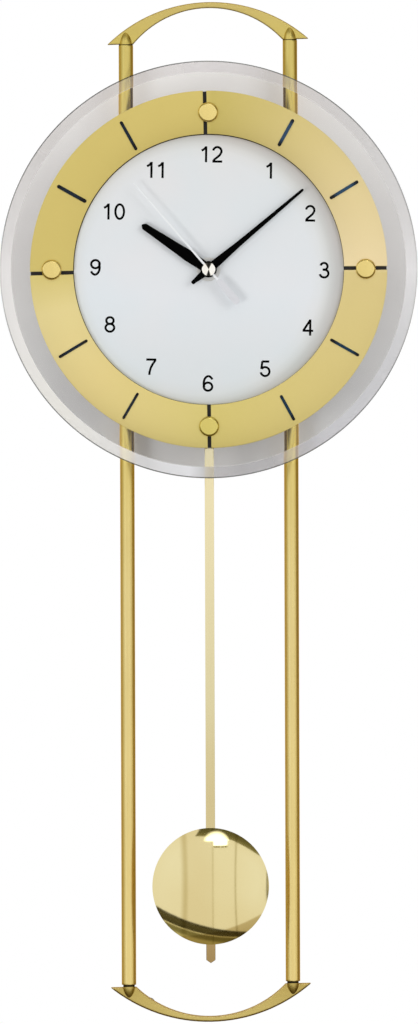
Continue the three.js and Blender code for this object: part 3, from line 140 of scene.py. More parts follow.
def add(tree, kind, inputs=None, stops=(), **settings):
    """Adds a node. An input is given a value, or linked where it is given another node's socket. A colour ramp
    is given its stops, pairs of place and hex colour."""
    made = tree.nodes.new("ShaderNode" + kind)
    for key, value in settings.items():
        setattr(made, key, value)
    for key, value in (inputs or {}).items():
        if isinstance(value, bpy.types.NodeSocket):
            tree.links.new(value, made.inputs[key])
        else:
            made.inputs[key].default_value = value
    if stops:
        points = made.color_ramp.elements
        for place, code in stops[2:]:
            points.new(place)
        for point, (place, code) in zip(points, stops):
            point.position = place
            point.color = colour(code)
    return made


def new_material(name):
    """A bare material, its tree, and the place on the object that its patterns follow."""
    made = bpy.data.materials.new(name)
    made.use_nodes = True
    tree = made.node_tree
    tree.nodes.clear()
    return made, tree, add(tree, "TexCoord").outputs["Object"]


def shaded(tree, grain, strength, depth, dull, inputs):
    """The shader of a surface whose grain stands `depth` millimetres high. `dull` is its roughness, or the
    two values that the roughness runs between with the grain."""
    relief = add(tree, "Bump", {"Height": grain, "Strength": strength, "Distance": depth * MM})
    if isinstance(dull, tuple):
        dull = add(tree, "MapRange", {"Value": grain, "To Min": dull[0], "To Max": dull[1]}).outputs["Result"]
    made = add(tree, "BsdfPrincipled", {"Roughness": dull, "Normal": relief.outputs["Normal"], **inputs})
    return made.outputs["BSDF"]


def surfaced(made, *surface):
    """The material, once such a shader is on its output."""
    add(made.node_tree, "OutputMaterial", {"Surface": shaded(made.node_tree, *surface)})
    return made


def by_height(tree, place, stops):
    """A tone that runs over the height, from pairs of millimetres and hex colour."""
    low, high = stops[0][0], stops[-1][0]
    height = add(tree, "SeparateXYZ", {"Vector": place}).outputs["Z"]
    share = add(tree, "MapRange", {"Value": height, "From Min": low * MM, "From Max": high * MM})
    shares = [((z - low) / (high - low), code) for z, code in stops]
    return add(tree, "ValToRGB", {"Fac": share.outputs["Result"]}, shares).outputs["Color"]


def grained_metal(name, stops, cloud, roughness, grain, stretch, spread=0.08, lift=0.02):
    """Metal worked in one direction: streaks of `grain` millimetres, `stretch` gives their reach on each axis.

    Its tone runs over the height; `cloud` is the darkest of the faint clouds over it."""
    made, tree, place = new_material(name)
    along = add(tree, "Mapping", {"Vector": place, "Scale": stretch}).outputs["Vector"]
    streaks = add(tree, "TexNoise", {"Vector": along, "Scale": 1 / (grain * MM), "Detail": 2.0}).outputs["Fac"]
    clouds = add(tree, "TexNoise", {"Vector": place, "Scale": 1 / (38 * MM), "Detail": 1.0}).outputs["Fac"]
    cast = add(tree, "ValToRGB", {"Fac": clouds}, [(0.35, cloud), (0.65, "#FFFFFF")]).outputs["Color"]
    tone = add(tree, "Mix", {"Factor": 1.0, "A": by_height(tree, place, stops), "B": cast}, data_type="RGBA",
               blend_type="MULTIPLY").outputs["Result"]
    dull = add(tree, "MapRange", {"Value": streaks, "From Min": 0.3, "From Max": 0.7,
                                  "To Min": roughness - spread / 2, "To Max": roughness + spread / 2})
    return surfaced(made, streaks, 0.35, lift, dull.outputs["Result"], {"Base Color": tone, "Metallic": 1.0})


def moulded(name, base, light, roughness, pitch, lift=0.03, metallic=0.0, shine=0.5):
    """A moulded, coated or printed surface: a fine even grain of `pitch` millimetres, and a faint cloud."""
    made, tree, place = new_material(name)
    grain = add(tree, "TexNoise", {"Vector": place, "Scale": 1 / (pitch * MM), "Detail": 3.0}).outputs["Fac"]
    clouds = add(tree, "TexNoise", {"Vector": place, "Scale": 1 / (20 * MM), "Detail": 2.0}).outputs["Fac"]
    tone = add(tree, "Mix", {"Factor": clouds, "A": colour(base), "B": colour(light)}, data_type="RGBA")
    return surfaced(made, grain, 0.4, lift, (roughness - 0.06, roughness + 0.06), {
        "Base Color": tone.outputs["Result"], "Metallic": metallic, "Specular IOR Level": shine})


# Drawn aluminium tube, satin anodised in gold: fine lines along its length, soft bright stripe.
# Real drawing lines are about 0.1 mm apart; they are drawn 0.9 mm apart so that they show.
# Its tone by height is painted light: brighter over the two lengths behind the glass, and paler towards the
# bottom.
rod_gold = grained_metal("anodised_aluminium_drawn_gold", [
    (-480, "#F2DD95"), (-250, "#EEDB99"), (-175, "#E8D486"), (-167, "#FFEA88"), (-150, "#FFEA88"),
    (-140, "#E6D283"), (28, "#DFCE7D"), (34, "#FAE47E"), (47, "#FAE47E"), (53, "#DFCE7D"), (75, "#DECD7C")],
    cloud="#FBFAF8", roughness=0.30, grain=0.9, stretch=(1, 1, 0.02))
# The same tube where the black disc in front of it keeps the light from its inner side.
rod_shaded = grained_metal("anodised_aluminium_drawn_shaded", [(-480, "#5E4A20"), (75, "#5E4A20")],
                           cloud="#FBFAF8", roughness=0.30, grain=0.9, stretch=(1, 1, 0.02))

# Die-cast yoke, ground flat and gold lacquered: a matt even face with a trace of the grinding belt.
yoke_gold = grained_metal("lacquered_diecast_zinc_gold", [
    (-500, "#D8C57C"), (-480, "#C9B46A"), (75, "#DFCD77"), (98, "#D9C67E")],
    cloud="#FAF9F6", roughness=0.36, grain=1.2, stretch=(0.05, 1, 1))
# Its rounded edges: duller, and paler as painted light.
yoke_edge = grained_metal("lacquered_diecast_zinc_edge", [
    (-500, "#F4E2AC"), (-480, "#F0DC9C"), (98, "#E9D88F")],
    cloud="#FAF9F6", roughness=0.62, grain=1.2, stretch=(1, 1, 1))

# Turned aluminium button, gold anodised: rings too fine to show, so a soft even gloss.
button_gold = grained_metal("anodised_aluminium_turned_gold", [
    (-160, "#DED179"), (-80, "#F0DB90"), (40, "#F5E195")],
    cloud="#FCFBF8", roughness=0.24, grain=1.0, stretch=(1, 1, 1), spread=0.04)

# Polished brass of the pendulum's strip, its tone painted light and shade: pale at the top, browner at the
# foot.
strip_brass = grained_metal("polished_brass_strip", [
    (-468, "#AC9366"), (-455, "#B59C6E"), (-445, "#DECFA0"), (-370, "#E0D3A6"), (-313, "#E8E0B8"),
    (-180, "#FAF1CC"), (-120, "#FFF4CC")],
    cloud="#FCFBF8", roughness=0.10, grain=1.0, stretch=(1, 1, 0.03), spread=0.04)

# Deep-drawn bob, brass plated and mirror polished: sharp reflections, only a breath of haze.
bob_brass = grained_metal("polished_brass_plated_bob", [(-457, "#E6D9A6"), (-388, "#EADEAC")], cloud="#FBF8F2",
                          roughness=0.06, grain=3.0, stretch=(1, 1, 1), spread=0.03, lift=0.004)


def round_dial(tree, place):
    """Share of a turn clockwise from nine o'clock: 0.25 is twelve, 0.5 is three, 0.75 is six."""
    flat = add(tree, "Mapping", {"Vector": place, "Rotation": (math.pi / 2, 0, 0)}).outputs["Vector"]
    centred = add(tree, "VectorMath", {0: flat, 1: (0, -AXIS_Z * MM, 0)}, operation="SUBTRACT")
    share = add(tree, "TexGradient", {"Vector": centred.outputs["Vector"]}, gradient_type="RADIAL")
    return share.outputs["Fac"]


# Painted light: the tone of the ring's quarters, clockwise from nine o'clock.
RING_TONES = [
    (0.0, "#E3D182"), (0.248, "#E3D182"), (0.252, "#D7C776"), (0.498, "#FEECC0"), (0.502, "#EDDB9E"),
    (0.748, "#E4D587"), (0.752, "#E6D88D"), (0.875, "#F3E19F"), (0.958, "#F6E7A9"), (1.0, "#E7D78A"),
]


def ring_finish():
    """Gold-anodised sheet, brushed and cut in four; its tone is painted light, palest near three and at the
    lower left.
    """
    made, tree, place = new_material("anodised_aluminium_brushed_ring_gold")
    tone = add(tree, "ValToRGB", {"Fac": round_dial(tree, place)}, RING_TONES).outputs["Color"]
    grain = add(tree, "TexNoise", {"Vector": place, "Scale": 1 / (1.2 * MM), "Detail": 2.0}).outputs["Fac"]
    return surfaced(made, grain, 0.3, 0.02, (0.38, 0.5), {"Base Color": tone, "Metallic": 1.0})


ring_gold = ring_finish()


def lamps_pass(tree, shown):
    """Puts the finish on, and lets lamp and room light pass through it unbent."""
    ray = add(tree, "LightPath")
    passing = add(tree, "Math", {0: ray.outputs["Is Shadow Ray"], 1: ray.outputs["Is Diffuse Ray"]},
                  operation="MAXIMUM")
    open_way = add(tree, "BsdfTransparent", {"Color": colour("#F2F3F4")})
    surface = add(tree, "MixShader", {0: passing.outputs["Value"], 1: shown, 2: open_way.outputs["BSDF"]})
    add(tree, "OutputMaterial", {"Surface": surface.outputs["Shader"]})


def clear_glass_finish():
    """Float glass, polished: almost no tone of its own, a faint unevenness."""
    made, tree, place = new_material("float_glass_polished")
    wave = add(tree, "TexNoise", {"Vector": place, "Scale": 1 / (30 * MM), "Detail": 1.0}).outputs["Fac"]
    lamps_pass(tree, shaded(tree, wave, 0.05, 0.1, (0.0, 0.02), {
        "Base Color": colour("#F6F7F8"), "IOR": 1.5, "Transmission Weight": 1.0, "Specular IOR Level": 0.2}))
    return made


def glass_edge_painted_light(name, stops, least, most):
    """Painted light on the glass's edge: a thin haze, whose tone and amount follow the dial round."""
    made, tree, place = new_material(name)
    tone = add(tree, "ValToRGB", {"Fac": round_dial(tree, place)}, stops).outputs["Color"]
    amount = add(tree, "MapRange", {"Value": tone, "From Min": 0.45, "From Max": 1.0,
                                    "To Min": least, "To Max": most}).outputs["Result"]
    grain = add(tree, "TexNoise", {"Vector": place, "Scale": 1 / (2 * MM), "Detail": 2.0}).outputs["Fac"]
    relief = add(tree, "Bump", {"Height": grain, "Strength": 0.1, "Distance": 0.01 * MM})
    haze = add(tree, "BsdfDiffuse", {"Color": tone, "Normal": relief.outputs["Normal"]})
    through = add(tree, "BsdfTransparent", {"Color": colour("#F6F5F6")})
    shown = add(tree, "MixShader", {0: amount, 1: through.outputs["BSDF"], 2: haze.outputs["BSDF"]})
    lamps_pass(tree, shown.outputs["Shader"])
    return made


clear_glass = clear_glass_finish()
# The bevel, clockwise from nine o'clock, with a painted reflection: bright where it faces the soft boxes.
bevel_glass = glass_edge_painted_light("float_glass_bevel_painted_reflection", [
    (0.0, "#F8F6F5"), (0.06, "#E0DEDC"), (0.125, "#B6B3AE"), (0.25, "#CCC8CA"), (0.375, "#C0C0BF"),
    (0.47, "#E8E7E7"), (0.5, "#F6F5F6"), (0.56, "#E2E3E6"), (0.66, "#D0D1D8"), (0.742, "#B6B7BB"),
    (0.765, "#F8FAFE"), (0.80, "#F4F5F7"), (0.875, "#FFFDF4"), (1.0, "#F8F6F5")], 0.28, 0.62)
# The arris round the rim, with a painted reflection: dark, but pale where it faces the soft boxes on either
# side.
rim_glass = glass_edge_painted_light("float_glass_arris_rim", [
    (0.0, "#D8D8D6"), (0.04, "#8E908E"), (0.12, "#4A4C4A"), (0.2, "#3E403E"), (0.25, "#7C7E7C"),
    (0.36, "#565856"), (0.46, "#A0A1A0"), (0.5, "#D8D8D6"), (0.58, "#8A8B8A"), (0.66, "#636563"),
    (0.80, "#5C5E5C"), (0.93, "#8A8B8A"), (1.0, "#D8D8D6")], 0.75, 0.95)
# The fine polished line where the bevel starts, as a painted pale highlight.
line_glass = glass_edge_painted_light("float_glass_polished_line", [(0.0, "#E6E4E3"), (1.0, "#E6E4E3")], 0.2, 0.5)


def dial_finish():
    """Silvered sheet, clear lacquered: pale and a little blue, greyed towards its rim by painted shade."""
    made, tree, place = new_material("silvered_aluminium_dial_lacquered")
    # The soft shade of the ring lies on its right: measured from a point a little left of the axis.
    aside = (-5.8 * MM, -DIAL_FRONT * MM, (AXIS_Z - 1.5) * MM)
    from_aside = add(tree, "VectorMath", {0: place, 1: aside}, operation="DISTANCE").outputs["Value"]
    reach = add(tree, "MapRange", {"Value": from_aside, "From Min": 66 * MM, "From Max": 84 * MM})
    tone = add(tree, "ValToRGB", {"Fac": reach.outputs["Result"]}, [
        (0.0, "#E1E5E8"), (0.33, "#DFE2E3"), (0.53, "#D7D9D8"), (0.67, "#CCCDCB"), (0.83, "#C5C4C2"),
        (1.0, "#C2C0BE")]).outputs["Color"]
    clouds = add(tree, "TexNoise", {"Vector": place, "Scale": 1 / (45 * MM), "Detail": 1.0}).outputs["Fac"]
    cloudy = add(tree, "ValToRGB", {"Fac": clouds}, [(0.35, "#FBFDFE"), (0.65, "#FFFDFD")]).outputs["Color"]
    for cast in (by_height(tree, place, [(-140, "#F4F5F3"), (-75, "#FFFFFF"), (20, "#FEFBF8")]), cloudy):
        tone = add(tree, "Mix", {"Factor": 1.0, "A": tone, "B": cast}, data_type="RGBA",
                   blend_type="MULTIPLY").outputs["Result"]
    grain = add(tree, "TexNoise", {"Vector": place, "Scale": 1 / (0.8 * MM), "Detail": 2.0}).outputs["Fac"]
    return surfaced(made, grain, 0.2, 0.01, (0.4, 0.52), {"Base Color": tone, "Specular IOR Level": 0.3})


dial_silver = dial_finish()


def turned_cap_finish():
    """Turned bright nickel; its colour is a painted reflection of two white wedges, dark between."""
    made, tree, place = new_material("nickelled_brass_turned")
    spoke = add(tree, "VectorMath", {0: place, 1: (0, 0, AXIS_Z * MM)}, operation="SUBTRACT").outputs["Vector"]
    groove = add(tree, "VectorMath", {0: spoke, 1: (0, 1, 0)}, operation="CROSS_PRODUCT").outputs["Vector"]
    rings = add(tree, "TexNoise", {"Vector": place, "Scale": 1 / (0.7 * MM), "Detail": 1.0}).outputs["Fac"]
    wedges = add(tree, "ValToRGB", {"Fac": round_dial(tree, place)}, [
        (0.0, "#FFFFFF"), (0.15, "#FDFCF9"), (0.18, "#4A4844"), (0.25, "#1C1B1A"), (0.31, "#3A3835"),
        (0.34, "#FDFCF9"), (0.5, "#FFFFFF"), (0.69, "#FDFCF9"), (0.715, "#2E2D2A"), (0.79, "#1C1B1A"),
        (0.815, "#FDFCF9"), (1.0, "#FFFFFF")]).outputs["Color"]
    return surfaced(made, rings, 0.1, 0.01, (0.06, 0.1), {
        "Base Color": wedges, "Metallic": 1.0, "Anisotropic": 0.5, "Tangent": groove})


cap_metal = turned_cap_finish()

# Printed and coated blacks and whites, the nut, and the pegs' painted shade
hand_black = moulded("lacquered_steel_black", "#010101", "#030303", 0.45, 0.9, 0.01, shine=0.02)
hand_white = moulded("lacquered_aluminium_white", "#ECEEF0", "#E6E8EA", 0.3, 0.9, 0.01)
# The same lacquer on the broad tail, which lies away from the light.
tail_white = moulded("lacquered_aluminium_shaded", "#D2D3D7", "#D5D6DA", 0.4, 0.9, 0.01, shine=0.2)
nut_metal = moulded("nickelled_brass_satin", "#CACAC8", "#D2D2D0", 0.45, 1.0, 0.01, 0.2, 0.3)
print_black = moulded("screen_printed_ink_black", "#020202", "#050505", 0.6, 0.6, 0.005, shine=0.03)
# The pegs' necks in the gaps under the rods: their near-black is painted shade.
peg_dark = moulded("zinc_peg_painted_shade", "#1C160C", "#2A2113", 0.55, 0.9, shine=0.1)


def enamel_finish():
    """Glossy blue-black enamel on a bar: bluest over its middle, and bluer on the dial's right."""
    made, tree, place = new_material("enamelled_brass_blue_black")
    hue = add(tree, "ValToRGB", {"Fac": round_dial(tree, place)}, [
        (0.0, "#0E1C2A"), (0.25, "#10202F"), (0.30, "#2C4560"), (0.45, "#26465E"), (0.55, "#0D3147"),
        (0.70, "#0B2B3E"), (0.80, "#101D2B"), (1.0, "#0E1C2A")]).outputs["Color"]
    from_axis = add(tree, "VectorMath", {0: place, 1: (0, -RING_FRONT * MM, AXIS_Z * MM)},
                    operation="DISTANCE").outputs["Value"]
    along = add(tree, "MapRange", {"Value": from_axis, "From Min": (RING_INNER + 2.9) * MM,
                                   "From Max": (RING_OUTER - 3.1) * MM}).outputs["Result"]
    ends = add(tree, "ValToRGB", {"Fac": along}, [
        (0.0, "#000000"), (0.12, "#303030"), (0.3, "#FFFFFF"), (0.75, "#FFFFFF"), (0.93, "#404040"),
        (1.0, "#000000")]).outputs["Color"]
    tone = add(tree, "Mix", {"Factor": ends, "A": colour("#05080C"), "B": hue},
               data_type="RGBA").outputs["Result"]
    flow = add(tree, "TexNoise", {"Vector": place, "Scale": 1 / (3 * MM), "Detail": 1.0}).outputs["Fac"]
    return surfaced(made, flow, 0.2, 0.01, (0.12, 0.2), {"Base Color": tone, "Specular IOR Level": 0.2})


stick_black = enamel_finish()


def wound_wire():
    """Enamelled copper wire in close turns: fine ribs round the coil, drawn 0.5 mm apart."""
    made, tree, place = new_material("enamelled_copper_wire_wound")
    turns = add(tree, "TexWave", {"Vector": place, "Scale": 1 / (3.1 * MM), "Distortion": 0.6}).outputs["Fac"]
    tone = add(tree, "ValToRGB", {"Fac": turns}, [(0.0, "#7A3F22"), (1.0, "#C87B4A")]).outputs["Color"]
    return surfaced(made, turns, 0.6, 0.1, 0.35, {"Base Color": tone, "Metallic": 1.0})


def circuit_laminate():
    """Glass-epoxy laminate under green solder mask, with paler tracks in a square layout."""
    made, tree, place = new_material("glass_epoxy_solder_mask_green")
    layout = add(tree, "TexBrick", {
        "Vector": place, "Scale": 1 / (6 * MM), "Color1": colour("#1F5A38"), "Color2": colour("#236340"),
        "Mortar": colour("#3C7E55"), "Mortar Size": 0.05})
    return surfaced(made, layout.outputs["Fac"], 0.3, 0.03, 0.32, {"Base Color": layout.outputs["Color"]})


def battery_sleeve():
    """Printed shrink sleeve, bare of any words: a dark body with a copper-coloured band at one end."""
    made, tree, place = new_material("pvc_shrink_sleeve_two_tone")
    along = add(tree, "SeparateXYZ", {"Vector": place}).outputs["X"]
    share = add(tree, "MapRange", {"Value": along, "From Min": -25 * MM, "From Max": 25 * MM}).outputs["Result"]
    tone = add(tree, "ValToRGB", {"Fac": share}, [
        (0.0, "#26282B"), (0.68, "#26282B"), (0.7, "#B57A3E"), (0.96, "#B57A3E"), (0.97, "#C9CBCD"),
        (1.0, "#C9CBCD")]).outputs["Color"]
    film = add(tree, "TexNoise", {"Vector": place, "Scale": 1 / (4 * MM), "Detail": 2.0}).outputs["Fac"]
    return surfaced(made, film, 0.2, 0.05, 0.3, {"Base Color": tone})


# What the carried-over nodes are made of, by the record's slot: the finishes above, and those of the works and
# the back, which are mostly hidden.
SLOT_FINISH = {
    "rod_gold": rod_gold, "yoke_gold": yoke_gold, "ring_gold": ring_gold, "button_gold": button_gold,
    "bob_brass": bob_brass, "strip_brass": strip_brass, "clear_glass": clear_glass, "dial_silver": dial_silver,
    "stick_black": stick_black, "hand_black": hand_black, "hand_white": hand_white, "copper_wire": wound_wire(),
    "board_green": circuit_laminate(), "battery_wrap": battery_sleeve(),
    "backing_black": moulded("powder_coated_steel_black", "#050404", "#0A0908", 0.5, 0.8, shine=0.06),
    "bright_metal": moulded("nickelled_brass_plain", "#C4C4C2", "#CDCDCB", 0.3, 0.9, 0.01, 1.0),
    "zinc_steel": moulded("zinc_plated_steel_pressed", "#B9BDC2", "#C7CACC", 0.36, 1.2, 0.02, 1.0),
    "rotor_steel": moulded("magnet_steel_ground", "#7E8186", "#8D9094", 0.4, 1.0, 0.02, 1.0),
    "black_plastic": moulded("abs_moulded_black", "#141516", "#1B1C1E", 0.48, 0.7),
    "white_plastic": moulded("acetal_moulded_white", "#DEDCD4", "#E8E6E0", 0.42, 0.7),
    "ferrite": moulded("ferrite_sintered", "#2B2B2D", "#38383A", 0.62, 0.9, 0.04),
    "grey_rubber": moulded("rubber_moulded_grey", "#55585B", "#606366", 0.75, 0.8, 0.05),
}


def dress_carried_nodes():
    """Every CAD node gets the finish of its slot, also those that a finer piece hides."""
    for entry in frame["record"]["materials"]:
        for name in entry.get("nodes", []):
            node = frame["nodes"].get(name)
            if node:
                node.data.materials.clear()
                node.data.materials.append(SLOT_FINISH[entry["slot"]])


# Shaping

def chain(bm, points):
    """Vertices joined one to the next by edges."""
    corners = [bm.verts.new(point) for point in points]
    return corners + [bm.edges.new(pair) for pair in zip(corners, corners[1:])]


def tidy(bm):
    """Doubles merged and faces turned outwards."""
    bmesh.ops.remove_doubles(bm, verts=bm.verts, dist=0.0005)
    bmesh.ops.recalc_face_normals(bm, faces=bm.faces)
    return bm


def move(bm, x, y, z):
    """Moves a whole shape."""
    bmesh.ops.translate(bm, vec=(x, y, z), verts=bm.verts)


def turn(bm, degrees, centre=(0, 0, 0)):
    """Turns a shape clockwise as the dial is seen."""
    bmesh.ops.rotate(bm, cent=centre, matrix=Matrix.Rotation(math.radians(degrees), 3, "Y"), verts=bm.verts)


def cut(bm, point, normal, keep_both=True):
    """Cuts a shape through; what lies behind the cut goes unless both sides are kept."""
    bmesh.ops.bisect_plane(bm, geom=bm.verts[:] + bm.edges[:] + bm.faces[:], plane_co=point, plane_no=normal,
                           clear_inner=not keep_both)


def lathe(profile, steps, centre=(0, 0, AXIS_Z)):
    """A turned piece: pairs of radius and depth, spun round an axis that points at the wall."""
    bm = bmesh.new()
    line = chain(bm, [(radius, -depth, 0) for radius, depth in profile])
    bmesh.ops.spin(bm, geom=line, cent=(0, 0, 0), axis=(0, 1, 0), angle=TURN, steps=steps, use_merge=True)
    move(bm, *centre)
    return tidy(bm)


def thicken(bm, back, front):
    """Flat faces at y = 0 made a plate between two depths."""
    move(bm, 0, -back, 0)
    grown = bmesh.ops.extrude_face_region(bm, geom=list(bm.faces), use_keep_orig=True)["geom"]
    moved = [item for item in grown if isinstance(item, bmesh.types.BMVert)]
    bmesh.ops.translate(bm, vec=(0, back - front, 0), verts=moved)
    return tidy(bm)


def outline_plate(corners, back, front):
    """A plate from its outline, pairs of x and z."""
    bm = bmesh.new()
    line = chain(bm, [(x, 0, z) for x, z in corners])
    bm.edges.new((line[len(corners) - 1], line[0]))
    bmesh.ops.contextual_create(bm, geom=bm.edges[:])
    return thicken(bm, back, front)


def soften(bm, width, segments=2, least=35):
    """Rounds every edge that turns by more than `least` degrees."""
    bm.edges.ensure_lookup_table()
    sharp = [e for e in bm.edges if len(e.link_faces) == 2 and e.calc_face_angle(0) > math.radians(least)]
    bmesh.ops.bevel(bm, geom=sharp, offset=width, offset_type="OFFSET", segments=segments, profile=0.5,
                    affect="EDGES", clamp_overlap=True, material=-1)
    return bm


def join(*parts):
    """Several shapes as one."""
    whole = parts[0]
    for part in parts[1:]:
        spare = bpy.data.meshes.new("spare")
        part.to_mesh(spare)
        part.free()
        whole.from_mesh(spare)
        bpy.data.meshes.remove(spare)
    return whole


def set_on_dial(bm, clockwise):
    """Turns a shape made for twelve o'clock to its hour, and sets it on the hands' axis."""
    turn(bm, clockwise)
    move(bm, 0, 0, AXIS_Z)
    return bm


def finish_piece(bm, name, finishes, replaced=(), body="case_and_frame", smooth=32):
    """Brings a shape to metres and makes it a piece that rides on its body."""
    bmesh.ops.scale(bm, vec=(MM, MM, MM), verts=bm.verts)
    mesh = bpy.data.meshes.new(name)
    bm.to_mesh(mesh)
    bm.free()
    for finish in finishes:
        mesh.materials.append(finish)
    mesh.shade_smooth()
    mesh.set_sharp_from_angle(angle=math.radians(smooth))
    piece = bpy.data.objects.new(name, mesh)
    bpy.context.scene.collection.objects.link(piece)
    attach(piece, body)
    if replaced:
        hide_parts(*replaced)


# Rods and yokes

def rod(x):
    """A drawn tube with chamfered ends, bored for the yokes' pegs."""
    bm = bmesh.new()
    top, bottom = ROD_ENDS[x]
    bmesh.ops.create_cone(bm, cap_ends=True, segments=64, radius1=ROD_RADIUS, radius2=ROD_RADIUS,
                          depth=top - bottom)
    soften(bm, ROD_CHAMFER, least=60)
    caps = [f for f in bm.faces if abs(f.normal.z) > 0.99]
    for cap in caps:
        inward = -math.copysign(ROD_BORE_DEPTH, cap.normal.z)
        bmesh.ops.inset_region(bm, faces=[cap], thickness=ROD_RADIUS - ROD_CHAMFER - ROD_BORE)
        sunk = bmesh.ops.extrude_face_region(bm, geom=[cap])["geom"]
        bmesh.ops.delete(bm, geom=[cap], context="FACES_ONLY")
        moved = [item for item in sunk if isinstance(item, bmesh.types.BMVert)]
        bmesh.ops.translate(bm, vec=(0, 0, inward), verts=moved)
    move(bm, x, -ROD_DEPTH, (top + bottom) / 2)
    # Rings of edges keep the ends' rounding out of the long faces, and bound the shaded parts.
    for height in (top - 1, *ROD_SHADES[0], *ROD_SHADES[1], bottom + 1):
        cut(bm, (0, 0, height), (0, 0, 1))
    tidy(bm)
    for face in bm.faces:
        behind_disc = any(low < face.calc_center_median().z < high for high, low in ROD_SHADES)
        inwards = -face.normal.x * math.copysign(1, x)
        face.material_index = int(behind_disc and inwards > 0.6 and face.normal.y < 0)
    return bm


def arch_line(bm, half, rise):
    """Edges of a shallow arch over x from -half to +half, with its feet at z = 0."""
    radius = (half ** 2 + rise ** 2) / (2 * rise)
    foot = bm.verts.new((-half, 0, 0))
    bmesh.ops.spin(bm, geom=[foot], cent=(0, 0, rise - radius), axis=(0, 1, 0),
                   angle=2 * math.asin(half / radius), steps=32)
    return radius


def yoke(upright, rise, gap, neck, feet, lean, rounding):
    """Two arches bridged to a face with sharp points, and a bullet-shaped boss and a dark peg at each rod."""
    bm = bmesh.new()
    outer_radius = arch_line(bm, YOKE_HALF, rise)
    arch_line(bm, YOKE_INNER_HALF, rise - YOKE_WAIST)
    bmesh.ops.bridge_loops(bm, edges=list(bm.edges))
    thicken(bm, -YOKE_THICKNESS / 2, YOKE_THICKNESS / 2)
    soften(bm, rounding, 5, 50)
    # The rounded edges have the third finish, paler as painted light; on the lower yoke only those that will
    # face up.
    for face in bm.faces:
        face.material_index = 2 * (abs(face.normal.y) < 0.97 and (upright or face.normal.z < 0))
    boss_top = math.sqrt(outer_radius ** 2 - ROD_X ** 2) - (outer_radius - rise) - BOSS_SHORT
    shares = [step / 12 for step in range(13)]
    bullet = [(BOSS_RADIUS * (1 - share ** 2), share * boss_top) for share in shares]
    peg = [(0, -gap - PEG_REACH), (PEG_RADIUS, -gap - PEG_REACH), (PEG_RADIUS, -gap - PEG_TAPER),
           (neck, -gap + PEG_CLEARANCE), (neck, PEG_TAPER), (0, PEG_TAPER)]
    parts = []
    for x in (-ROD_X, ROD_X):
        for finish, profile in enumerate(([(0.0, 0.0)] + bullet, peg)):
            part = bmesh.new()
            line = chain(part, [(radius, 0, height) for radius, height in profile])
            bmesh.ops.spin(part, geom=line, cent=(0, 0, 0), axis=(0, 0, 1), angle=TURN, steps=40,
                           use_merge=True)
            move(part, x, 0 if finish else -BOSS_FORWARD, 0)
            for face in part.faces:
                face.material_index = finish
            parts.append(tidy(part))
    whole = join(bm, *parts)
    if not upright:
        turn(whole, 180)
    turn(whole, -lean)
    move(whole, 0, -ROD_DEPTH, feet)
    return whole


for name, x in (("left_rod", -ROD_X), ("right_rod", ROD_X)):
    finish_piece(rod(x), name + "_tube", [rod_gold, rod_shaded], [name])
for name, measures in YOKES.items():
    finish_piece(yoke(name == "top_yoke", *measures), name + "_casting",
                 [yoke_gold, peg_dark, yoke_edge], [name])


# Glass, ring and dial

def glass_disc():
    """The glass with its bevel, a fine line where the bevel starts, and an arris round the rim."""
    bevel_start, arris_start = GLASS_RADIUS - GLASS_BEVEL, GLASS_RADIUS - GLASS_ARRIS
    shape = lathe([(BUSH_HOLE, GLASS_BACK), (GLASS_RADIUS - GLASS_EDGE, GLASS_BACK),
                   (GLASS_RADIUS, GLASS_BACK + GLASS_EDGE), (GLASS_RADIUS, GLASS_RIM - 0.3),
                   (arris_start, GLASS_RIM + 0.2), (bevel_start, GLASS_FRONT - 0.02),
                   (bevel_start - GLASS_LINE, GLASS_FRONT), (BUSH_HOLE, GLASS_FRONT),
                   (BUSH_HOLE, GLASS_BACK)], 240)
    for face in shape.faces:
        reach = math.hypot(face.calc_center_median().x, face.calc_center_median().z - AXIS_Z)
        if face.normal.y < -0.01 and reach > bevel_start - GLASS_LINE:
            # The line, the bevel and the arris, from the middle outwards.
            face.material_index = 3 if reach < bevel_start else 1 if reach < arris_start else 2
    return shape


# The photographed ring was put on by hand: how far clockwise each gap between its quarters sits, in
# millimetres, and how many degrees it leans clockwise.
GAPS = {0: (-1.82, -1.1), 90: (-0.46, -0.2), 180: (-0.08, -0.5), 270: (-1.95, -1.4)}
# The same for each index bar, then its inner and outer end from the axis and its half width.
STICKS = {
    1: (-0.49, -0.8, 83.0, 101.0, 1.02), 2: (-0.33, -1.2, 82.3, 101.8, 0.97),
    4: (0.13, -0.3, 82.3, 101.7, 0.88), 5: (0.83, 1.5, 85.0, 101.9, 0.88),
    7: (-0.1, 0.3, 83.4, 101.1, 0.78), 8: (-0.36, -0.9, 82.3, 101.9, 0.86),
    10: (-1.5, -0.7, 81.8, 101.4, 1.08), 11: (-1.17, 1.0, 81.6, 100.9, 0.93),
}


def ring_quarter(degrees):
    """A quarter of the ring, cut back on both ends by half the gap."""
    bm = bmesh.new()
    spare = 4  # degrees past each end, for the cuts
    edge = chain(bm, [(0, 0, RING_INNER), (0, 0, RING_OUTER)])
    turn(bm, -spare)
    bmesh.ops.spin(bm, geom=edge, cent=(0, 0, 0), axis=(0, 1, 0), angle=TURN / 4 + 2 * math.radians(spare),
                   steps=72)
    tidy(bm)
    for end, side in ((0, 1), (90, -1)):
        shift, lean = GAPS[(degrees + end) % 360]
        across = Matrix.Rotation(math.radians(end + lean), 3, "Y") @ Vector((side, 0, 0))
        middle = Matrix.Rotation(math.radians(end), 3, "Y") @ Vector((shift, 0, BUTTON_CIRCLE))
        cut(bm, middle + across * RING_GAP / 2, across, keep_both=False)
    thicken(bm, BACKING_FRONT, RING_FRONT)
    soften(bm, RING_ROUNDING, least=50)
    return set_on_dial(bm, degrees)


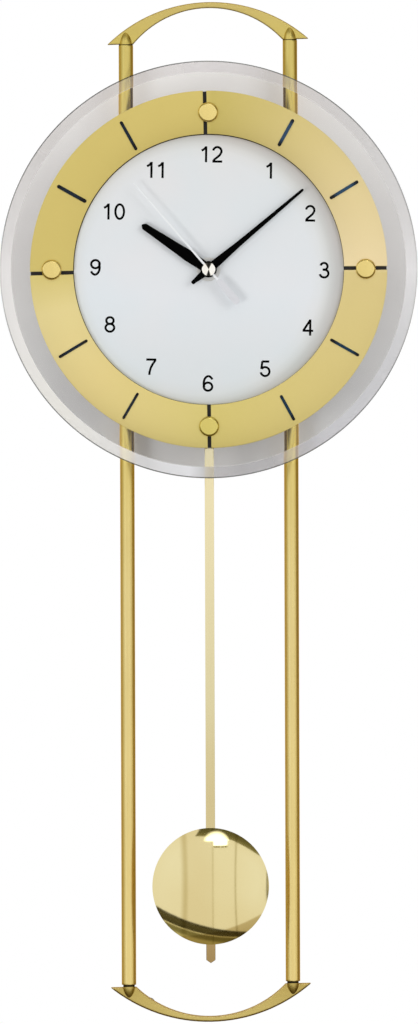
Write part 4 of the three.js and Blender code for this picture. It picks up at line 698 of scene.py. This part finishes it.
def stick(hour):
    """An index bar with round ends and softened edges."""
    bm = bmesh.new()
    aside, lean, low, high, half = STICKS[hour]
    for end, start in ((high - half, -half), (low + half, half)):
        corner = bm.verts.new((start, 0, end))
        bmesh.ops.spin(bm, geom=[corner], cent=(0, 0, end), axis=(0, 1, 0), angle=TURN / 2, steps=8)
    bmesh.ops.bridge_loops(bm, edges=bm.edges[:])
    thicken(bm, RING_FRONT, RING_FRONT + STICK_HEIGHT)
    soften(bm, STICK_ROUNDING, least=50)
    turn(bm, lean, (0, 0, BUTTON_CIRCLE))
    move(bm, aside, 0, 0)
    return set_on_dial(bm, 30 * hour)


def button(degrees):
    """A low domed cap, flat on top, with its shank through the glass."""
    flat = BUTTON_RADIUS - BUTTON_ROUNDING
    shoulder = RING_FRONT + BUTTON_WALL
    profile = [(0, SHANK_BACK), (SHANK_RADIUS, SHANK_BACK), (SHANK_RADIUS, RING_FRONT),
               (BUTTON_RADIUS - BUTTON_CHAMFER, RING_FRONT), (BUTTON_RADIUS, RING_FRONT + BUTTON_CHAMFER)]
    for step in range(9):
        angle = step / 8 * TURN / 4
        profile.append((flat + BUTTON_ROUNDING * math.cos(angle), shoulder + BUTTON_ROUNDING * math.sin(angle)))
    for step in range(1, 9):
        share = 1 - step / 8
        profile.append((flat * share, shoulder + BUTTON_ROUNDING + BUTTON_DOME * (1 - share ** 2)))
    return set_on_dial(lathe(profile, 56, (0, 0, BUTTON_CIRCLE)), degrees)


finish_piece(glass_disc(), "bevelled_glass", [clear_glass, bevel_glass, rim_glass, line_glass],
             ["glass_disc"])
for degrees, hours in ((0, "12_to_03"), (90, "03_to_06"), (180, "06_to_09"), (270, "09_to_12")):
    finish_piece(ring_quarter(degrees), f"ring_quarter_{hours}", [ring_gold],
                 [f"ring_segment_{hours}"])
for hour in STICKS:
    finish_piece(stick(hour), f"enamelled_stick_{hour:02d}", [stick_black],
                 [f"index_stick_{hour:02d}"])
for hour in (12, 3, 6, 9):
    finish_piece(button(30 * hour), f"domed_button_{hour:02d}", [button_gold],
                 [f"ring_button_{hour:02d}"])
# The picture's dial sits a little right and low in the ring, so the black line round it is widest at the
# upper left.
finish_piece(lathe([(BUSH_HOLE, BACKING_FRONT), (DIAL_RADIUS, BACKING_FRONT), (DIAL_RADIUS, DIAL_FRONT - 0.1),
                    (DIAL_RADIUS - 0.1, DIAL_FRONT), (BUSH_HOLE, DIAL_FRONT), (BUSH_HOLE, BACKING_FRONT)], 180,
                   (0.12, 0, AXIS_Z - 0.2)), "silvered_dial", [dial_silver], ["dial_plate"])


# Numerals: each stroke is its centre line, in parts of the height of a figure. A stroke is a list of
# points, or an arc given by its centre, its half width and half height, and its first and last angle.
FIGURE_HEIGHT = 9.5
FIGURE_STROKE = 0.14
FIGURE_STEP = 0.69
FIGURE_PRESS = 0.04  # depth of the ink, as a stroke is round before it is pressed flat
FIGURE_LEAN = 1.0  # degrees clockwise
FIGURE_LIFT = 0.001  # off the dial
ARC_STEPS = 28
DIGITS = {
    "0": [("arc", 0, 0.5, 0.265, 0.447, 0, 360)],
    "1": [[(0, 0), (0, 0.99)], [(-0.02, 0.94), (-0.08, 0.85), (-0.17, 0.775), (-0.28, 0.72)]],
    "2": [("arc", 0, 0.69, 0.255, 0.257, 172, -28),
          [(0.225, 0.569), (0.13, 0.43), (-0.02, 0.3), (-0.17, 0.185), (-0.25, 0.06)],
          [(-0.3, 0.053), (0.31, 0.053)]],
    "3": [("arc", -0.01, 0.735, 0.215, 0.212, 168, -88), ("arc", 0, 0.295, 0.265, 0.242, 95, -170),
          [(-0.1, 0.53), (0.02, 0.53)]],
    "4": [[(0.14, 0), (0.14, 1)], [(0.13, 0.95), (-0.28, 0.31)], [(-0.33, 0.3), (0.33, 0.3)]],
    "5": [[(-0.19, 0.947), (0.25, 0.947)], [(-0.18, 0.96), (-0.235, 0.47)],
          ("arc", 0, 0.327, 0.268, 0.274, 145, -170)],
    "6": [("arc", 0.01, 0.302, 0.262, 0.249, 0, 360), ("arc", 0.03, 0.5, 0.285, 0.447, 215, 33)],
    "7": [[(-0.31, 0.947), (0.31, 0.947)],
          [(0.27, 0.92), (0.09, 0.67), (-0.03, 0.42), (-0.09, 0.2), (-0.11, 0)]],
    "8": [("arc", 0, 0.737, 0.225, 0.21, 0, 360), ("arc", 0, 0.297, 0.268, 0.243, 0, 360)],
    "9": [("arc", -0.01, 0.698, 0.262, 0.249, 0, 360), ("arc", -0.03, 0.5, 0.285, 0.447, 35, -147)],
}
# Middles of the numerals from the hands' axis, in millimetres.
NUMERALS = {
    "12": (2.1, 67.5), "1": (35.6, 57.8), "2": (59.7, 32.7), "3": (67.8, -0.7), "4": (58.1, -34.3),
    "5": (33.0, -58.4), "6": (-0.6, -66.9), "7": (-33.8, -57.0), "8": (-58.0, -32.1), "9": (-66.4, 1.4),
    "10": (-55.2, 34.1), "11": (-31.2, 58.4),
}


def stroke_points(stroke):
    """The points along a stroke."""
    if stroke[0] != "arc":
        return stroke
    x, z, wide, high, first, last = stroke[1:]
    angles = [math.radians(first + (last - first) * step / ARC_STEPS) for step in range(ARC_STEPS + 1)]
    return [(x + wide * math.cos(a), z + high * math.sin(a)) for a in angles]


def numeral(word, middle):
    """Printed figures: round strokes pressed flat on the dial."""
    curve = bpy.data.curves.new("figure", "CURVE")
    curve.dimensions = "3D"
    curve.bevel_depth = FIGURE_STROKE / 2
    curve.bevel_resolution = 2
    curve.use_fill_caps = True
    for place, digit in enumerate(word):
        shift = (place - (len(word) - 1) / 2) * FIGURE_STEP
        for stroke in DIGITS[digit]:
            points = stroke_points(stroke)
            closed = stroke[0] == "arc" and abs(stroke[-1] - stroke[-2]) == 360
            points = points[:-1] if closed else points
            spline = curve.splines.new("POLY")
            spline.points.add(len(points) - 1)
            spline.use_cyclic_u = closed
            for point, (x, z) in zip(spline.points, points):
                point.co = (x + shift, 0, z, 1)
    drawn = bpy.data.objects.new("figure", curve)
    mesh = bpy.data.meshes.new_from_object(drawn)
    bpy.data.objects.remove(drawn)
    bm = bmesh.new()
    bm.from_mesh(mesh)
    bpy.data.meshes.remove(mesh)
    low = [min(v.co[i] for v in bm.verts) for i in (0, 2)]
    high = [max(v.co[i] for v in bm.verts) for i in (0, 2)]
    move(bm, -(low[0] + high[0]) / 2, 0, -(low[1] + high[1]) / 2)
    bmesh.ops.scale(bm, vec=(FIGURE_HEIGHT, FIGURE_PRESS, FIGURE_HEIGHT), verts=bm.verts)
    turn(bm, FIGURE_LEAN)
    move(bm, middle[0], -DIAL_FRONT - FIGURE_LIFT, AXIS_Z + middle[1])
    return bm


finish_piece(join(*[numeral(word, middle) for word, middle in NUMERALS.items()]), "printed_numerals",
             [print_black])


# Hands

def blade(stations, back, front):
    """A hand's flat blade from pairs of distance and width, with its edges softened."""
    sides = [(-wide / 2, z) for z, wide in stations] + [(wide / 2, z) for z, wide in reversed(stations)]
    return soften(outline_plate(sides, back, front), HAND_ROUNDING)


def hub(radius, back, front):
    """The round of a hand over its pipe."""
    return lathe([(0, back), (radius, back), (radius, front - HAND_ROUNDING), (radius - HAND_ROUNDING, front),
                  (0, front)], 56, (0, 0, 0))


hour_hand = join(blade([(0, 5.9), (14.4, 6.9), (22, 6.0), (45.4, 3.9), (47, 0.8)], *HOUR_HAND),
                 hub(HOUR_HUB, *HOUR_HAND))
finish_piece(set_on_dial(hour_hand, HOUR_TURN), "hour_hand_blade", [hand_black], ["hour_hand"],
             "hours")
minute_hand = join(blade([(-12.8, 1.2), (-12.4, 2.1), (-10, 2.6), (-7.5, 3.3), (0, 4.9), (6, 5.0), (12, 4.4),
                          (20, 3.5), (30, 2.95), (44, 2.5), (60, 2.0), (71.8, 1.6), (72.7, 0.9)], *MINUTE_HAND),
                   hub(MINUTE_HUB, *MINUTE_HAND))
finish_piece(set_on_dial(minute_hand, MINUTE_TURN), "minute_hand_blade", [hand_black],
             ["minute_hand"], "minutes")
second_hand = blade([(-26.6, 2.2), (-25.7, 3.7), (-24.4, 4.4), (-9, 3.9), (-8, 1.3), (0, 1.3), (67, 0.7)],
                    *SECOND_HAND)
cut(second_hand, (0, 0, TAIL_START), (0, 0, 1))
for face in second_hand.faces:
    face.material_index = 2 * (face.calc_center_median().z < TAIL_START)
second_cap = lathe([(0, 50.25), (3.8, 50.25), (3.95, 50.4), (3.95, 51.55), (3.8, 51.75), (0, 52.3)], 72,
                   (0, 0, 0))
for face in second_cap.faces:
    face.material_index = 1
finish_piece(set_on_dial(join(second_hand, second_cap), SECOND_TURN), "second_hand_and_cap",
             [hand_white, cap_metal, tail_white], ["second_hand"], "seconds")
finish_piece(lathe([(3.9, 45), (6.9, 45), (6.9, 46.1), (6.4, 46.6), (3.9, 46.6), (3.9, 45)], 72),
             "turned_centre_nut", [nut_metal], ["centre_nut"])


# Pendulum

def dome(radius, height, steps=40):
    """Radius and height above the rim of a shallow dome, from its rim to its middle."""
    sphere = (radius ** 2 + height ** 2) / (2 * height)
    spread = math.asin(radius / sphere)
    angles = [spread * (1 - step / steps) for step in range(steps + 1)]
    return [(sphere * math.sin(a), sphere * math.cos(a) - (sphere - height)) for a in angles]


strip = outline_plate([(-STRIP_HALF, STRIP_TOP), (-STRIP_HALF, STRIP_TIP + STRIP_POINT), (0, STRIP_TIP),
                       (STRIP_HALF, STRIP_TIP + STRIP_POINT), (STRIP_HALF, STRIP_TOP)], STRIP_BACK, STRIP_FRONT)
finish_piece(soften(strip, STRIP_ROUNDING), "polished_strip", [strip_brass], ["pendulum_strip"],
             "pendulum", smooth=20)
front_rim = BOB_FACE + BOB_RIM
outside = [(radius, front_rim + height) for radius, height in dome(BOB_RADIUS, BOB_DOME)]
inside = [(radius, front_rim - BOB_SHELL + height)
          for radius, height in reversed(dome(BOB_RADIUS - BOB_SHELL, BOB_DOME))]
bob_edge = [(BOB_RADIUS, BOB_FACE)]
finish_piece(lathe(bob_edge + outside + inside + bob_edge, 160, (0, 0, BOB_Z)), "bob_front_shell",
             [bob_brass], ["bob_front"], "pendulum", smooth=25)

dress_carried_nodes()


# Stage, light and camera

PAPER_GRAIN = 60  # millimetres
ROOM_LEVEL = 0.68
BOX_GLOW = 2.5
LAMP_DISTANCE = 2.4
LAMP_AIM = Vector((0, 0, -0.15))


def seen_directly(tree):
    """1 for the eye and through glass, 0 for the light that falls on the object."""
    ray = add(tree, "LightPath")
    return add(tree, "Math", {0: ray.outputs["Is Camera Ray"], 1: ray.outputs["Is Transmission Ray"]},
               operation="MAXIMUM").outputs["Value"]


def stage_plane(name, size, middle, tilt, code, pale, wash=None, lift=0):
    """A flat backdrop with a plain paper finish, not part of the object; `wash` is a painted glow by height
    that stands for light falling on it, `lift` what brings it to the white of the background for the eye."""
    bm = bmesh.new()
    bmesh.ops.create_grid(bm, x_segments=1, y_segments=1, size=size / 2)
    bmesh.ops.rotate(bm, cent=(0, 0, 0), matrix=Matrix.Rotation(tilt, 3, "X"), verts=bm.verts)
    move(bm, *middle)
    mesh = bpy.data.meshes.new(name)
    bm.to_mesh(mesh)
    bm.free()
    made, tree, place = new_material(name + "_paper")
    fibre = add(tree, "TexNoise", {"Vector": place, "Scale": 1 / (PAPER_GRAIN * MM), "Detail": 2.0})
    tone = add(tree, "ValToRGB", {"Fac": fibre.outputs["Fac"]}, [(0.3, code), (0.7, pale)]).outputs["Color"]
    surface = add(tree, "BsdfDiffuse", {"Color": tone}).outputs["BSDF"]
    if wash:
        glow = add(tree, "Emission", {"Color": by_height(tree, place, wash)}).outputs["Emission"]
        surface = add(tree, "AddShader", {0: surface, 1: glow}).outputs["Shader"]
    if lift:
        strength = add(tree, "Math", {0: seen_directly(tree), 1: lift}, operation="MULTIPLY").outputs["Value"]
        glow = add(tree, "Emission", {"Color": colour("#FFFFFF"), "Strength": strength}).outputs["Emission"]
        surface = add(tree, "AddShader", {0: surface, 1: glow}).outputs["Shader"]
    add(tree, "OutputMaterial", {"Surface": surface})
    mesh.materials.append(made)
    plane = bpy.data.objects.new(name, mesh)
    bpy.context.scene.collection.objects.link(plane)
    return plane


floor = stage_plane("floor", 6.0, (0, 0, -1.7), 0, "#F4F3F2", "#F6F5F4", lift=0.35)
floor.visible_glossy = False  # polished brass meets the studio's own floor edge
# The wall is only met through the glass: the picture has it cut away round the clock.
wall = stage_plane("wall_behind_glass", 1.6, (0, 0.0005, -0.2), math.pi / 2, "#DCDADA", "#E6E5E4",
                   [(-145, "#000000"), (-60, "#625C58"), (60, "#9C9792")])
wall.visible_camera = wall.visible_diffuse = wall.visible_glossy = wall.visible_shadow = False


def studio():
    """White for the eye and through glass; for gloss a pale studio with brown sides, soft boxes, seams and the
    edges of its floor and ceiling."""
    world = bpy.data.worlds.new("studio")
    bpy.context.scene.world = world
    world.use_nodes = True
    tree = world.node_tree
    tree.nodes.clear()
    # Turned by what the line of sight to the bob leans, so that its reflections lie as in the picture.
    sight = add(tree, "TexCoord").outputs["Generated"]
    direction = add(tree, "VectorRotate", {"Vector": sight, "Angle": math.radians(-0.63)},
                    rotation_type="X_AXIS").outputs["Vector"]

    def across(x, y, z, stops):
        """A tone that runs over how far a direction leans towards (x, y, z), from -1 to 1."""
        axis = Vector((x, y, z)).normalized()
        lean = add(tree, "VectorMath", {0: direction, 1: tuple(axis)}, operation="DOT_PRODUCT").outputs["Value"]
        share = add(tree, "MapRange", {"Value": lean, "From Min": -1.0, "From Max": 1.0}).outputs["Result"]
        shares = [((place + 1) / 2, code) for place, code in stops]
        return add(tree, "ValToRGB", {"Fac": share}, shares).outputs["Color"]

    def edge(x, y, z, start, end, first="#000000", last="#FFFFFF"):
        """Two tones that meet between two such leans."""
        return across(x, y, z, [(start, first), (end, last)])

    def blended(a, b, way="MULTIPLY", share=1.0):
        """One tone laid over another."""
        return add(tree, "Mix", {"Factor": share, "A": a, "B": b}, data_type="RGBA",
                   blend_type=way).outputs["Result"]

    white = colour("#FFFFFF")
    # Front of the room pale, its sides and back brown.
    front = across(0, -1, 0, [(-1, "#D8B868"), (-0.3, "#CEB678"), (0.05, "#D2C498"), (0.45, "#F8F5EC"),
                              (0.8, "#FFFFFF")])
    # The dark edge of the ceiling, over two slanted lines.
    olive = [(0, "#FFFFFF"), (0.008, "#8F8A63"), (0.06, "#6E6A48"), (0.15, "#5B5A3E"), (0.3, "#C9C4AC"),
             (0.5, "#E9E5D2")]
    over_left = blended(across(0.1, 0.616, 0.782, olive),
                        edge(1, 0, -0.8, -0.545, -0.538, "#FFFFFF", "#000000"), "LIGHTEN")
    ceiling = blended(across(0.315, 0.635, 0.706, olive), over_left, "DARKEN")
    top = blended(white, ceiling, "MIX", edge(0, 0, 1, 0.08, 0.17))
    # The dark skirting, a bright line under it, and the floor; browner on the right.
    to_skirting, to_floor = (-0.29, 0.6345, -1), (-0.178, 0.62, -0.764)
    skirting = across(*to_skirting, [(0.003, "#FFFFFF"), (0.012, "#46422C"), (0.06, "#5C573C"),
                                     (0.11, "#4C4831"), (1, "#57523A")])
    floor_tones = across(*to_floor, [(-0.006, "#57523A"), (0.002, "#EDE8CC"), (0.008, "#EDE8CC"),
                                     (0.016, "#85815A"), (0.07, "#8E8A62"), (0.105, "#D8D5B0"),
                                     (0.5, "#6E5E3A")])
    below = blended(skirting, floor_tones, "MIX", edge(*to_floor, -0.006, 0.0))
    below = blended(below, edge(*to_skirting, -0.001, 0.007, "#FFFFFF", "#000000"), "LIGHTEN")
    browner = across(0.211, 0.593, -0.777, [(-0.004, "#FFFFFF"), (0.004, "#D5CBB4"), (0.2, "#C8BC9C")])
    below = blended(below, browner)
    # Behind the clock the floor is as pale as the room.
    dark_part = blended(edge(0, 0, -1, 0.0, 0.12), edge(0, -1, 0, -0.88, -0.6, "#303030"))
    low = blended(white, below, "MIX", dark_part)
    # Joints of the studio's panels, as the bob shows them, and the dark frame at the far right.
    seams = across(1, 0, 0, [(-0.40, "#FFFFFF"), (-0.345, "#E0D9C6"), (-0.325, "#E0D9C6"), (-0.29, "#F6F2EA"),
                             (0.015, "#F6F2EA"), (0.03, "#D6CFBA"), (0.045, "#FAF7F0"), (0.31, "#FAF7F0"),
                             (0.332, "#C6BEA4"), (0.345, "#FAF7F0"), (0.69, "#FFFFFF"), (0.703, "#57523A"),
                             (0.72, "#C8BE9A")])
    room = blended(blended(front, top), blended(low, seams))
    # Soft boxes: over the camera, cut off level below with a dark lip at the middle, and a weaker one at right.
    lip = across(0, 0, 1, [(0.496, "#FFFFFF"), (0.500, "#8F8A63"), (0.518, "#8F8A63"), (0.521, "#FFFFFF")])
    middle = across(1, 0, 0, [(0.035, "#000000"), (0.042, "#FFFFFF"), (0.213, "#FFFFFF"), (0.22, "#000000")])
    room = blended(room, blended(room, lip), "MIX", middle)
    level = blended(edge(0, 0, 1, 0.572, 0.578), middle, "LIGHTEN")
    over = blended(blended(edge(0.08, -0.83, 0.552, 0.9858, 0.9885), level), edge(0, 0, 1, 0.520, 0.524))
    right = edge(0.86, -0.5, 0.05, 0.955, 0.985, last="#7C7C7C")
    lights = ((room, 1.0), (blended(over, right, "ADD"), BOX_GLOW), (white, ROOM_LEVEL), (white, 1.0))
    gloss, glow, plain, open_white = [
        add(tree, "Background", {"Color": tone, "Strength": strength}).outputs["Background"]
        for tone, strength in lights]
    both = add(tree, "AddShader", {0: gloss, 1: glow}).outputs["Shader"]
    bounces = add(tree, "LightPath").outputs["Glossy Depth"]
    mirrored = add(tree, "Math", {0: bounces, 1: 0.5}, operation="GREATER_THAN").outputs["Value"]
    direct = add(tree, "MixShader", {0: seen_directly(tree), 1: plain, 2: open_white}).outputs["Shader"]
    shown = add(tree, "MixShader", {0: mirrored, 1: direct, 2: both}).outputs["Shader"]
    add(tree, "OutputWorld", {"Surface": shown})


studio()


def soft_lamp(name, direction, size, level):
    """A square soft box; `level` is the share of full white that it gives the dial by itself."""
    away = Vector(direction).normalized()
    light = bpy.data.lights.new(name, "AREA")
    light.shape = "SQUARE"
    light.size = size
    light.energy = level * math.pi * math.pi * LAMP_DISTANCE ** 2 / max(-away.y, 0.1)
    lamp = bpy.data.objects.new(name, light)
    lamp.location = LAMP_AIM + away * LAMP_DISTANCE
    lamp.rotation_euler = away.to_track_quat("Z", "Y").to_euler()
    bpy.context.scene.collection.objects.link(lamp)
    lamp.visible_glossy = lamp.visible_transmission = False  # gloss meets the soft boxes of the studio instead


soft_lamp("right_softbox", (0.66, -0.66, 0.36), 1.3, 0.16)
soft_lamp("left_softbox", (-0.6, -0.76, -0.25), 0.7, 0.18)

SENSOR = 36.0
PIXEL = 0.5870  # millimetres to a pixel of the picture, on the plane of the glass
PICTURE_HEIGHT = 1024
CAMERA_DISTANCE = 10.0  # before the glass, in metres; much farther, and the other views lose the object
LENS_TRIM = 0.007  # added to it for the lens, to share what is left of the error between dial and yokes
# The camera's middle from the nail in millimetres, and its roll in degrees.
CAMERA_ASIDE = -0.25
CAMERA_HEIGHT = -202.3
CAMERA_ROLL = -0.19

camera_data = bpy.data.cameras.new("camera")
camera = bpy.data.objects.new("camera", camera_data)
bpy.context.scene.collection.objects.link(camera)
bpy.context.scene.camera = camera
camera_data.sensor_width = SENSOR
camera_data.lens = SENSOR * (CAMERA_DISTANCE + LENS_TRIM) / (PICTURE_HEIGHT * PIXEL * MM)
camera_data.clip_start, camera_data.clip_end = 1.0, 100.0
camera.location = (CAMERA_ASIDE * MM, -CAMERA_DISTANCE - GLASS_FRONT * MM, CAMERA_HEIGHT * MM)
level, roll = Matrix.Rotation(math.pi / 2, 3, "X"), Matrix.Rotation(math.radians(CAMERA_ROLL), 3, "Z")
camera.rotation_euler = (level @ roll).to_euler()

bpy.context.scene.view_settings.view_transform = "Standard"
